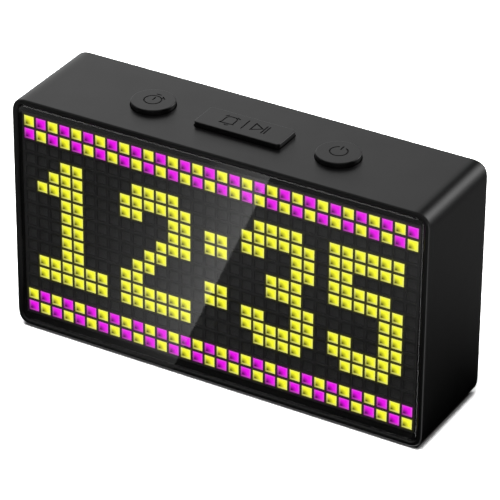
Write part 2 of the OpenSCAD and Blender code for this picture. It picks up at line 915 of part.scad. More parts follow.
module rear_cover() {
    color("#262628")
        difference() {
            union() {
                slab(cover_front, cover_t)
                    rounded_outline(cover_w, cover_h, inner_r - cover_clear);
                for (p = main_places)
                    backwards(main_back, p[0], p[1]) cylinder(d = standoff_d, h = standoff_h + root);
                for (p = ear_places)
                    backwards(speaker_face, p[0], p[1]) cylinder(d = ear_boss_d, h = gasket_t + root);
            }
            for (p = post_places) {
                backwards(cover_front - overcut, p[0], p[1])
                    cylinder(d = pass_d(cover_screw_d), h = cover_t + 2 * overcut);
                backwards(body_d - counterbore_h, p[0], p[1])
                    cylinder(d = head_d(cover_screw_d) + 2 * hole_clear, h = counterbore_h + overcut);
            }
            for (p = main_places)
                backwards(main_back - overcut, p[0], p[1])
                    cylinder(d = pilot_d(board_screw_d), h = main_bite + overcut + root);
            for (p = ear_places)
                backwards(speaker_face - overcut, p[0], p[1])
                    cylinder(d = pilot_d(board_screw_d), h = speaker_bite + overcut + root);
            slab(cover_front - overcut, cover_t + 2 * overcut) {
                translate([usb_x, usb_z])
                    rounded_outline(usb_w + 2 * usb_clear, usb_h + 2 * usb_clear, usb_r + usb_clear);
                translate([speaker_x, speaker_z])
                    for (ring = [0:grille_rings], i = [0:max(ring * 6 - 1, 0)])
                        rotate(ring > 0 ? i * 60 / ring : 0)
                            translate([ring * grille_step, 0]) circle(d = grille_d);
            }
        }
}

module cover_screws() {
    color("#3a3c3e")
        for (p = post_places)
            backwards(body_d - counterbore_h, p[0], p[1])
                screw(cover_screw_d, cover_screw_l + cover_t - counterbore_h - root);
}

// Children at the seat of each foot
module foot_places() {
    for (x = [-1, 1], y = [-1, 1])
        translate([x * (body_w / 2 - foot_inset_x), y * (body_d / 2 - foot_inset_y), 0])
            children();
}

module feet() {
    color("#1b1b1d") foot_places() cylinder(d = foot_d, h = foot_t);
}

housing();
front_window();
window_tape();
pixel_grid();
lens_plate();
led_board();
led_chips();
led_drivers();
display_screws();
display_ribbon();
button_ribbon();
ribbon_sockets();
main_board();
controller_chip();
board_parts();
main_board_screws();
usb_socket();
usb_tongue();
coin_cell_holder();
coin_cell();
speaker_gasket();
speaker_frame();
speaker_cone();
speaker_magnet();
speaker_screws();
speaker_leads();
button_board();
switch_bodies();
button_board_screws();
timer_plunger();
alarm_plunger();
power_plunger();
timer_button();
alarm_button();
power_button();
rear_cover();
cover_screws();
feet();
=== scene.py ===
"""Looks of the pixel clock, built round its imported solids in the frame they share."""

import logging
import math
from dataclasses import dataclass, field
from enum import Enum
from functools import partial
from typing import Callable, Container, Iterable, Sequence

import bmesh
import bpy
from mathutils import Matrix, Vector


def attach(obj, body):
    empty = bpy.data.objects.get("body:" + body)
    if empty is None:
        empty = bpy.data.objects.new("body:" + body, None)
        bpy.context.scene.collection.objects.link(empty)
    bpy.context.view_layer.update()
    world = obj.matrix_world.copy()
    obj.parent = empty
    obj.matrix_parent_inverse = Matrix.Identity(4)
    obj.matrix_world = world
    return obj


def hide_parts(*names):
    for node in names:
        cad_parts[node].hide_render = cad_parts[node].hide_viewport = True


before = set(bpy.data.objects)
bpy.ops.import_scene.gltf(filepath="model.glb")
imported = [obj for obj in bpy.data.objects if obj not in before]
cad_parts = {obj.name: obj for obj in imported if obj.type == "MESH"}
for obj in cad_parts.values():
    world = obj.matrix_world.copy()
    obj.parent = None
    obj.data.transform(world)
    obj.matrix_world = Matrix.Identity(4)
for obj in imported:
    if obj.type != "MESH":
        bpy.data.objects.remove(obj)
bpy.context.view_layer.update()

MM = 0.001
UP = Vector((0, 0, 1))
BACKWARDS = Vector((0, 1, 0))
SQUARE = ((-1, -1), (1, -1), (1, 1), (-1, 1))
Colour = tuple[float, float, float]
Flat = tuple[float, float]
Spot = tuple[float, float, float]
Ring = list[Vector]
Socket = bpy.types.NodeSocket
Piece = bpy.types.Object
Level = Callable[[float, float], float]
Point = Callable[[float, float], tuple[Vector, Sequence[float]]]
log = logging.getLogger("pixel_clock")


def tone(red: int, green: int, blue: int) -> Colour:
    """Turns a colour as seen on a screen into the light values that shaders use.

    Args:
        red: Red from 0 to 255.
        green: Green from 0 to 255.
        blue: Blue from 0 to 255.

    Returns:
        The three linear values.
    """
    parts = [v / 255 for v in (red, green, blue)]
    r, g, b = (v / 12.92 if v <= 0.04045 else ((v + 0.055) / 1.055) ** 2.4 for v in parts)
    return r, g, b


def grey(level: int) -> Colour:
    """A neutral colour from 0 to 255, as linear values."""
    return tone(level, level, level)


def ramp(value: float, span: Flat) -> float:
    """How far a value has come along a span, given by its start and its length, from 0 to 1."""
    return min(1.0, max(0.0, (value - span[0]) / span[1]))


class Pattern(Enum):
    """Kinds of fine relief that a finish can carry."""

    MOULDED = "spark-eroded grain of a mould"
    BRUSHED = "fine lines along the width"
    PORES = "small open cells"
    TRACKS = "copper tracks under solder mask"
    STRIPES = "parallel conductors in a film"
    POLISHED = "faint smears on a polished face"


class NodeSheet:
    """Lays out the nodes of a material or of the surroundings."""

    def __init__(self, owner: bpy.types.Material | bpy.types.World) -> None:
        """Starts from the owner's own shader.

        Args:
            owner: What the nodes belong to.
        """
        owner.use_nodes = True
        self.tree = owner.node_tree
        self.shader = next(n for n in self.tree.nodes if n.type in ("BSDF_PRINCIPLED", "BACKGROUND"))

    def feed(self, end: Socket, value: object) -> None:
        """Links an output to an input, or sets a constant on it.

        Args:
            end: The input.
            value: An output, a number, a direction or a colour.
        """
        if isinstance(value, Socket):
            self.tree.links.new(value, end)
        else:
            end.default_value = (*value, 1) if end.type == "RGBA" else value

    def fill(self, ends: Iterable[Socket], *values: object) -> None:
        """Feeds several inputs in order."""
        for end, value in zip(ends, values):
            self.feed(end, value)

    def add(self, kind: str, *first: object, **values: object) -> bpy.types.Node:
        """Adds a node and sets its properties and its inputs.

        Args:
            kind: Node type without its common first part.
            first: Values of its first inputs, in order.
            values: Properties, and inputs with the spaces of their names written as underscores.

        Returns:
            The new node.
        """
        node = self.tree.nodes.new("ShaderNode" + kind)
        for name, value in values.items():
            if hasattr(node, name):
                setattr(node, name, value)
            else:
                self.feed(node.inputs[name.replace("_", " ")], value)
        self.fill(node.inputs, *first)
        return node

    def set(self, name: str, value: object) -> None:
        """Feeds one of the shader's own inputs."""
        self.feed(self.shader.inputs[name], value)

    def swap(self, kind: str) -> None:
        """Puts another kind of shader in the shader's place.

        Args:
            kind: Node type without its common first part.
        """
        end = self.shader.outputs[0].links[0].to_socket
        self.tree.nodes.remove(self.shader)
        self.shader = self.add(kind)
        self.feed(end, self.shader.outputs[0])

    def math(self, operation: str, *values: object) -> Socket:
        """Works out one number from others by an operation."""
        return self.add("Math", *values, operation=operation).outputs[0]

    def measure(self, operation: str, *values: object) -> Socket:
        """Works out one number from places or directions by an operation."""
        return self.add("VectorMath", *values, operation=operation).outputs["Value"]

    def blend(self, share: Socket, low: object, high: object) -> Socket:
        """Mixes two colours, or two numbers as greys, by a varying share.

        Args:
            share: Socket of the second colour's share.
            low: Colour at 0.
            high: Colour at 1.

        Returns:
            The mixed colour's socket.
        """
        mix = self.add("Mix", share, data_type="RGBA")
        self.fill((mix.inputs[6], mix.inputs[7]), low, high)
        return mix.outputs[2]

    def spread(self, value: Socket, start: Flat, end: Flat, smooth: bool = False) -> Socket:
        """Maps a varying value from one range to another, with eased ends or without."""
        ends = "SMOOTHSTEP" if smooth else "LINEAR"
        return self.add("MapRange", value, *start, *end, interpolation_type=ends).outputs["Result"]


@dataclass(frozen=True)
class Surface:
    """What all finishes share: a node material that is made when it is first asked for."""

    name: str

    def material(self) -> bpy.types.Material:
        """The node material of this surface.

        Returns:
            The material.
        """
        label = "finish_" + self.name
        made = bpy.data.materials.get(label)
        if made is None:
            made = bpy.data.materials.new(label)
            self.lay(NodeSheet(made))
        return made

    def lay(self, sheet: NodeSheet) -> None:
        """Lays out the nodes, in each kind of surface's own way."""
        raise NotImplementedError


@dataclass(frozen=True)
class Finish(Surface):
    """A finish with its own grain, colour change and gloss change."""

    colour: Colour
    tint: Colour
    rough: Flat
    pattern: Pattern = Pattern.MOULDED
    grain: float = 0.3
    depth: float = 0.006
    patch: float = 14.0
    metallic: float = 0.0
    ior: float = 1.5
    alpha: float = 1.0
    cloud_span: Flat = (0.35, 0.65)
    cloud_share: float = 0.6
    grain_span: Flat = (0.3, 0.7)
    stretch: float = 40.0

    def lay(self, sheet: NodeSheet) -> None:
        """Lays out the nodes of this finish.

        Args:
            sheet: The material's nodes.
        """
        place = sheet.add("TexCoord").outputs["Object"]
        relief = self.relief(sheet, place)
        cloud = sheet.add("TexNoise", Vector=place, Scale=1 / (self.patch * MM), Detail=3.0, Roughness=0.55)
        share = sheet.math(
            "ADD",
            sheet.spread(cloud.outputs[0], self.cloud_span, (0, self.cloud_share)),
            sheet.spread(relief, self.grain_span, (0, 1 - self.cloud_share)),
        )
        sheet.set("Base Color", sheet.blend(share, self.colour, self.tint))
        sheet.set("Roughness", sheet.spread(share, (0, 1), self.rough))
        bump = sheet.add("Bump", Strength=1.0, Distance=self.depth * MM, Height=relief)
        sheet.set("Normal", bump.outputs[0])
        sheet.set("Metallic", self.metallic)
        sheet.set("IOR", self.ior)
        sheet.set("Alpha", self.alpha)

    def relief(self, sheet: NodeSheet, place: Socket) -> Socket:
        """Adds the texture that carries this finish's relief.

        Args:
            sheet: The material's nodes.
            place: Position on the object, in metres.

        Returns:
            Socket of the height.
        """
        size = 1 / (self.grain * MM)
        if self.pattern is Pattern.PORES:
            return sheet.add("TexVoronoi", Vector=place, Scale=size).outputs["Distance"]
        if self.pattern is Pattern.TRACKS:
            turned = sheet.add("Mapping", Vector=place, Rotation=(math.pi / 2, 0, 0)).outputs[0]
            tracks = sheet.add("TexBrick", Vector=turned, Scale=size, Mortar_Size=0.03, Mortar_Smooth=0.3)
            return tracks.outputs["Fac"]
        if self.pattern is Pattern.STRIPES:
            bands = sheet.add("TexWave", Vector=place, Scale=size / (2 * math.pi), Distortion=0.0)
            return bands.outputs["Fac"]
        along = 1 / self.stretch if self.pattern is Pattern.BRUSHED else 1.0
        laid = sheet.add("Mapping", Vector=place, Scale=(along, 1, 1)).outputs[0]
        return sheet.add("TexNoise", Vector=laid, Scale=size, Detail=2.0, Roughness=0.6).outputs[0]


@dataclass(frozen=True)
class Glow(Surface):
    """A milky lens that is lit from behind, with painted shade in one corner and a painted highlight along
    its top and right edges.
    """

    bright: Colour
    painted_shade_colour: Colour
    pale: Colour
    strength: float
    # Painted shade: the glow is darkest at this point of the lens and comes up to full over reach.
    corner: Spot = (0.1, 0.1, 0.0)
    reach: Flat = (0.0, 0.56)
    # Painted highlight: the glow turns pale between the two values of edge, along the top and right.
    edge: Flat = (0.7, 1.0)
    own_colour: float = 0.03
    specular: float = 0.1
    rough: Flat = (0.32, 0.5)
    frost: float = 1.8
    frost_span: Flat = (0.3, 0.7)
    frost_depth: float = 0.004

    def lay(self, sheet: NodeSheet) -> None:
        """Lays out the nodes of this lens.

        Args:
            sheet: The material's nodes.
        """
        place = sheet.add("UVMap", uv_map="cell").outputs[0]
        # Painted shade: darker towards the lower left corner of each lens.
        away = sheet.measure("DISTANCE", place, self.corner)
        light = sheet.blend(sheet.spread(away, self.reach, (0, 1)), self.painted_shade_colour, self.bright)
        across, up, _ = sheet.add("SeparateXYZ", Vector=place).outputs
        # Painted highlight: paler along the top and right edges.
        rim = sheet.spread(sheet.math("MAXIMUM", across, up), self.edge, (0, 1), smooth=True)
        sheet.set("Emission Color", sheet.blend(rim, light, self.pale))
        sheet.set("Emission Strength", self.strength)
        sheet.set("Base Color", tuple(self.own_colour * v for v in self.bright))
        sheet.set("Specular IOR Level", self.specular)
        point = sheet.add("TexCoord").outputs["Object"]
        frost = sheet.add("TexNoise", Vector=point, Scale=self.frost / MM, Detail=2.0).outputs[0]
        sheet.set("Roughness", sheet.spread(frost, self.frost_span, self.rough))
        bump = sheet.add("Bump", Strength=1.0, Distance=self.frost_depth * MM, Height=frost)
        sheet.set("Normal", bump.outputs[0])


@dataclass(frozen=True)
class GridFinish(Finish):
    """The grid's moulding, with painted light from the lenses at its wells and painted shade between lit
    ones.
    """

    painted_shade_grey: Colour = grey(8)

    def lay(self, sheet: NodeSheet) -> None:
        """Lays out the moulding's nodes and adds the painted light and the painted shade at the wells.

        Args:
            sheet: The material's nodes.
        """
        super().lay(sheet)
        painted_spill = sheet.add("Attribute", attribute_name="painted_spill_light").outputs
        # Painted light: the lenses' spill glows from the grid itself.
        sheet.set("Emission Color", painted_spill["Color"])
        sheet.set("Emission Strength", 1.0)
        # Painted shade: the base turns dark between lit pixels.
        plain = sheet.shader.inputs["Base Color"].links[0].from_socket
        sheet.set("Base Color", sheet.blend(painted_spill["Alpha"], plain, self.painted_shade_grey))


class Finishes:
    """All the finishes of the clock, by the record's slots."""

    CASE = Finish("case_black", grey(5), grey(7), (0.32, 0.37), grain=0.35, depth=0.0012, ior=1.42)
    BUTTON = Finish("button_black", grey(5), grey(7), (0.32, 0.37), grain=0.3, depth=0.0012, ior=1.42)
    ICON = Finish("button_icon", grey(6), grey(9), (0.6, 0.7), grain=0.2, depth=0.004)
    WINDOW = Finish(
        "smoked_window", grey(14), grey(16), (0.004, 0.012), Pattern.POLISHED,
        grain=30.0, depth=0.0001, patch=25.0, ior=2.0, alpha=0.3,
    )
    ADHESIVE = Finish("adhesive", grey(16), grey(22), (0.85, 0.95), Pattern.PORES, grain=0.4, depth=0.03)
    GRID = GridFinish("grid_black", grey(80), grey(86), (0.55, 0.65))
    DARK_LENS = Finish("dark_lens", grey(106), grey(112), (0.35, 0.5), grain=0.6, depth=0.004)
    LENS_SHEET = Finish("milky_lens", tone(228, 226, 218), tone(214, 212, 204), (0.35, 0.5), grain=0.6)
    BOARD = Finish(
        "board_green", tone(24, 78, 52), tone(40, 104, 72), (0.3, 0.45), Pattern.TRACKS, grain=3.2, depth=0.02
    )
    LED = Finish("led_white", tone(240, 238, 228), tone(226, 222, 206), (0.25, 0.4), grain=0.5)
    CHIP = Finish("chip_black", grey(30), grey(42), (0.45, 0.6), grain=0.25, depth=0.01)
    STEEL = Finish(
        "screw_steel", tone(178, 180, 182), tone(150, 152, 156), (0.25, 0.4), Pattern.BRUSHED,
        grain=0.12, depth=0.004, metallic=1.0,
    )
    BLACK_STEEL = Finish(
        "screw_black", grey(44), grey(62), (0.32, 0.5), Pattern.BRUSHED, grain=0.12, depth=0.004, metallic=0.8
    )
    FILM = Finish(
        "ribbon_film", tone(232, 226, 208), tone(196, 178, 148), (0.3, 0.4), Pattern.STRIPES,
        grain=1.0, depth=0.02,
    )
    SOCKET = Finish("socket_ivory", tone(232, 226, 212), tone(216, 208, 190), (0.4, 0.55), grain=0.4)
    USB = Finish(
        "usb_steel", tone(190, 192, 194), tone(164, 166, 170), (0.2, 0.34), Pattern.BRUSHED,
        grain=0.1, depth=0.003, metallic=1.0,
    )
    CELL = Finish(
        "cell_steel", tone(206, 208, 210), tone(184, 186, 190), (0.18, 0.3), Pattern.BRUSHED,
        grain=0.15, depth=0.003, metallic=1.0,
    )
    FOAM = Finish("foam_black", grey(26), grey(44), (0.9, 1.0), Pattern.PORES, grain=0.5, depth=0.08)
    BASKET = Finish("basket_grey", grey(96), grey(112), (0.35, 0.5), grain=0.4, metallic=0.6)
    PAPER = Finish("cone_paper", grey(24), grey(38), (0.8, 0.95), grain=0.8, depth=0.03)
    FERRITE = Finish("magnet_grey", grey(70), grey(90), (0.5, 0.7), Pattern.PORES, grain=0.6, depth=0.01)
    LEAD = Finish("lead_red", tone(176, 36, 32), tone(150, 26, 24), (0.4, 0.5), grain=0.5)
    PLUNGER = Finish("plunger_ivory", tone(226, 220, 202), tone(206, 198, 178), (0.3, 0.45), grain=0.4)
    RUBBER = Finish("foot_rubber", grey(20), grey(30), (0.8, 0.95), Pattern.PORES, grain=0.35, depth=0.015)
    # Lit lenses: glow colour, painted shade colour, painted highlight colour, strength.
    YELLOW = Glow("lens_yellow", tone(254, 254, 50), tone(50, 49, 1), tone(246, 246, 124), 1.95)
    MAGENTA = Glow("lens_magenta", tone(242, 20, 242), tone(54, 1, 54), tone(234, 92, 230), 1.9)


class Sketch:
    """Gathers faces in millimetres and turns them into one object."""

    def __init__(self) -> None:
        """Starts with an empty mesh."""
        self.bm = bmesh.new()

    def ring(self, points: Iterable[Vector]) -> list[bmesh.types.BMVert]:
        """Adds a vertex at each point, given in millimetres."""
        return [self.bm.verts.new(p * MM) for p in points]

    def loft(self, rings: Sequence[Ring], round_trip: bool = False) -> None:
        """Joins rings of equal length into a closed skin.

        Args:
            rings: Closed rings of points, in order.
            round_trip: Whether the last ring joins the first, instead of a cap on both.
        """
        made = [self.ring(r) for r in rings]
        pairs = list(zip(made, made[1:]))
        if round_trip:
            pairs.append((made[-1], made[0]))
        for a, b in pairs:
            for i in range(len(a)):
                j = (i + 1) % len(a)
                self.bm.faces.new((a[i], a[j], b[j], b[i]))
        if not round_trip:
            self.bm.faces.new(list(reversed(made[0])))
            self.bm.faces.new(made[-1])

    def quad(self, points: Sequence[Vector]) -> bmesh.types.BMFace:
        """Adds one face with vertices of its own."""
        return self.bm.faces.new(self.ring(points))

    def block(self, low: Vector, high: Vector, edge: float = 0.15) -> None:
        """Adds a block with small flat edges.

        Args:
            low: Lowest corner.
            high: Highest corner.
            edge: Size of the flats on its edges along Y.
        """
        rings = []
        for y, inset in ((low.y, edge), (low.y + edge, 0), (high.y - edge, 0), (high.y, edge)):
            x0, x1, z0, z1 = low.x + inset, high.x - inset, low.z + inset, high.z - inset
            rings.append([Vector((x, y, z)) for x, z in ((x0, z0), (x1, z0), (x1, z1), (x0, z1))])
        self.loft(rings)

    def net(
        self, xs: Sequence[float], ys: Sequence[float], layer: object, point: Point,
        holes: Container[tuple[int, int]] = (),
    ) -> None:
        """Adds a net of faces with a colour at each of its points.

        Args:
            xs: Places of its points one way.
            ys: Places of its points the other way.
            layer: Layer that takes the colours.
            point: Gives the point and the colour at two places.
            holes: Numbers both ways of the faces that are left out.
        """
        made = {}
        for i, x in enumerate(xs):
            for k, y in enumerate(ys):
                place, colour = point(x, y)
                made[i, k] = self.bm.verts.new(place * MM)
                made[i, k][layer] = colour
        for i in range(len(xs) - 1):
            for k in range(len(ys) - 1):
                if (i, k) not in holes:
                    corners = ((i, k), (i + 1, k), (i + 1, k + 1), (i, k + 1))
                    self.bm.faces.new([made[c] for c in corners])

    def lathe(
        self, profile: Sequence[Flat], centre: Vector, axis: Vector, steps: int = 48, round_trip: bool = False
    ) -> None:
        """Turns a profile round an axis.

        Args:
            profile: Radius and height of each ring, from one end to the other.
            centre: Point on the axis at height 0.
            axis: Direction of growing height.
            steps: Points on each ring.
            round_trip: Whether the last ring joins the first.
        """
        turn = UP.rotation_difference(axis).to_matrix()
        line = circle(0, 0, 1, steps=steps)
        rings = [[centre + turn @ Vector((r * a, r * b, h)) for a, b in line] for r, h in profile]
        self.loft(rings, round_trip)

    def finish(self, name: str, outward: bool = True) -> Piece:
        """Makes the gathered faces into an object.

        Args:
            name: Name of the object.
            outward: Whether the faces are turned outwards, for closed skins.

        Returns:
            The new object.
        """
        if outward:
            bmesh.ops.recalc_face_normals(self.bm, faces=self.bm.faces)
        mesh = bpy.data.meshes.new(name)
        self.bm.to_mesh(mesh)
        self.bm.free()
        made = bpy.data.objects.new(name, mesh)
        bpy.context.scene.collection.objects.link(made)
        return made


def circle(
    x: float, y: float, radius: float, start: float = 0.0, end: float = 360.0, steps: int = 40
) -> list[Flat]:
    """Points along an arc.

    Args:
        x: Place of its centre across.
        y: Place of its centre along.
        radius: Radius.
        start: First angle in degrees.
        end: Last angle in degrees.
        steps: Steps along it.

    Returns:
        The points. A full circle leaves out its last point.
    """
    count = steps if end - start >= 360 else steps + 1
    turns = [math.radians(start + (end - start) * i / steps) for i in range(count)]
    return [(x + radius * math.cos(a), y + radius * math.sin(a)) for a in turns]


def rounded(half_w: float, half_h: float, radius: float, steps: int = 10, bulge: float = 2.0) -> list[Flat]:
    """Outline of a rectangle with round corners, centred on 0.

    Args:
        half_w: Half its width.
        half_h: Half its height.
        radius: Corner radius.
        steps: Steps in each corner.
        bulge: 2 for circular corners, and more for corners that start earlier and are fuller.

    Returns:
        Points in order round the outline.
    """
    points = []
    for corner, (sx, sy) in enumerate(((1, 1), (-1, 1), (-1, -1), (1, -1))):
        for i in range(steps + 1):
            a = math.pi / 2 * (corner + i / steps)
            x, y = (radius * abs(v) ** (2 / bulge) for v in (math.cos(a), math.sin(a)))
            points.append((sx * (half_w - radius + x), sy * (half_h - radius + y)))
    return points


def quarter(radius: float, steps: int = 8) -> list[Flat]:
    """Steps of a quarter round, from top to side: how far in from its side and how far below its top."""
    turns = [math.pi / 2 * i / steps for i in range(steps + 1)]
    return [(radius * (1 - math.sin(a)), radius * (1 - math.cos(a))) for a in turns]


def eased(edge: float) -> list[Flat]:
    """Steps of a small rounded edge, as those of a quarter round, with one between its ends."""
    return [(edge, 0.0), (0.3 * edge, 0.3 * edge), (0.0, edge)]


def cut(target: Piece, tool: Piece) -> None:
    """Takes one object's volume out of another and removes the tool.

    Args:
        target: Object that is cut.
        tool: Object whose volume is taken out.
    """
    knife = target.modifiers.new("cut", "BOOLEAN")
    knife.operation, knife.solver, knife.object = "DIFFERENCE", "EXACT", tool
    knife.use_self, knife.material_mode = True, "TRANSFER"
    bpy.context.view_layer.update()
    whole = target.evaluated_get(bpy.context.evaluated_depsgraph_get())
    mesh = bpy.data.meshes.new_from_object(whole)
    target.modifiers.clear()
    target.data = mesh
    bpy.data.objects.remove(tool)


def absorb(target: Piece, extra: Piece) -> None:
    """Adds another object's faces to an object and removes the other.

    Args:
        target: Object that grows.
        extra: Object whose faces are added.
    """
    bm = bmesh.new()
    bm.from_mesh(target.data)
    bm.from_mesh(extra.data)
    bm.to_mesh(target.data)
    bm.free()
    bpy.data.objects.remove(extra)


def soften(piece: Piece, angle: float = 32.0) -> None:
    """Shades a piece smoothly across all but its sharp edges.

    Args:
        piece: The piece.
        angle: Angle in degrees above which an edge stays sharp.
    """
    piece.data.polygons.foreach_set("use_smooth", [True] * len(piece.data.polygons))
    piece.data.set_sharp_from_angle(angle=math.radians(angle))
    weights = piece.modifiers.new("even_shading", "WEIGHTED_NORMAL")
    weights.keep_sharp, weights.weight = True, 100


def dress(piece: Piece, finish: Surface, body: str, node: str) -> None:
    """Gives a piece its finish and its place in the frame, and logs it.

    Args:
        piece: The piece.
        finish: Its finish, put on the first material slot.
        body: CAD body that it rides on.
        node: CAD node that it stands for.
    """
    if piece.data.materials:
        piece.data.materials[0] = finish.material()
    else:
        piece.data.materials.append(finish.material())
    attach(piece, body)
    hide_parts(node)
    log.info("%s: %d faces on %s", piece.name, len(piece.data.polygons), body)


@dataclass(frozen=True)
class CaseSizes:
    """Sizes in millimetres that more than one sub-assembly uses, as in the part's source."""

    width: float = 168.2
    height: float = 94.2
    depth: float = 44.0
    wall: float = 2.2
    corner: float = 5.0
    back_round: float = 1.0
    foot_gap: float = 0.8
    window_front: float = 0.15
    window_back: float = 0.95
    ledge_front: float = 1.15
    ledge_back: float = 3.15
    ledge_corner: float = 0.2
    grid_front: float = 1.05
    lens_front: float = 1.65
    grid_back: float = 5.05
    plate_back: float = 6.05
    led_board: float = 7.35
    cover_front: float = 41.4
    pitch_x: float = 5.0
    pitch_z: float = 5.15
    columns: int = 32
    rows: int = 16
    well: float = 4.0
    grid_gap: float = 0.2
    stack_gap: float = 0.3
    button_depth: float = 20.9
    round_x: float = 37.5
    round_d: float = 16.2
    bar_w: float = 34.6
    bar_d: float = 12.8
    bar_r: float = 1.4
    button_gap: float = 0.25
    button_proud: float = 1.9
    guides: tuple[float, ...] = (-50.7, -22.6, 22.6, 50.7)
    feet: tuple[Flat, ...] = ((-68.1, -13.5), (68.1, -13.5), (-68.1, 13.5), (68.1, 13.5))

    @property
    def open_w(self) -> float:
        """Width of the opening inside the rim."""
        return self.width - 2 * self.wall

    @property
    def open_h(self) -> float:
        """Height of the opening inside the rim."""
        return self.height - 2 * self.wall

    @property
    def open_r(self) -> float:
        """Corner radius of the opening inside the rim."""
        return self.corner - self.wall

    @property
    def grid_w(self) -> float:
        """Half the width of the block of light wells."""
        return (self.columns * self.pitch_x + self.pitch_x - self.well) / 2

    @property
    def grid_h(self) -> float:
        """Half the height of the block of light wells."""
        return (self.rows * self.pitch_z + self.pitch_z - self.well) / 2

    @property
    def strip_z(self) -> float:
        """Height of the strips above and below the block, from the middle of the face to their middles."""
        return (self.open_h / 2 + self.grid_h + self.grid_gap) / 2

    @property
    def middle(self) -> float:
        """Height of the middle of the face above the floor."""
        return self.foot_gap + self.height / 2

    @property
    def top(self) -> float:
        """Height of the top face above the floor."""
        return self.foot_gap + self.height

    @property
    def ceiling(self) -> float:
        """Height of the inside of the top wall above the floor."""
        return self.top - self.wall

    @property
    def button_y(self) -> float:
        """Place of the row of buttons along Y."""
        return self.button_depth - self.depth / 2

    def at(self, x: float, depth: float, z: float) -> Vector:
        """Point from its distances: right of the middle, behind the rim and above the middle."""
        return Vector((x, depth - self.depth / 2, self.middle + z))

    def outline(self, half_w: float, half_h: float, radius: float, depth: float, bulge: float = 2.0) -> Ring:
        """Ring of a rounded rectangle parallel to the face, at a depth behind the rim."""
        return [self.at(x, depth, z) for x, z in rounded(half_w, half_h, radius, 16, bulge)]

    def opening(self, gap: float, depth: float) -> Ring:
        """Ring inside the rim's opening, at a gap from it and a depth behind the rim."""
        return self.outline(self.open_w / 2 - gap, self.open_h / 2 - gap, self.open_r - gap, depth)

    def bar(self, grow: float, z: float, steps: int) -> Ring:
        """Ring of the bar button's outline, grown by a distance, at a height above the floor."""
        line = rounded(self.bar_w / 2 + grow, self.bar_d / 2 + grow, self.bar_r + grow, steps)
        return [Vector((x, self.button_y + y, z)) for x, y in line]


SIZES = CaseSizes()


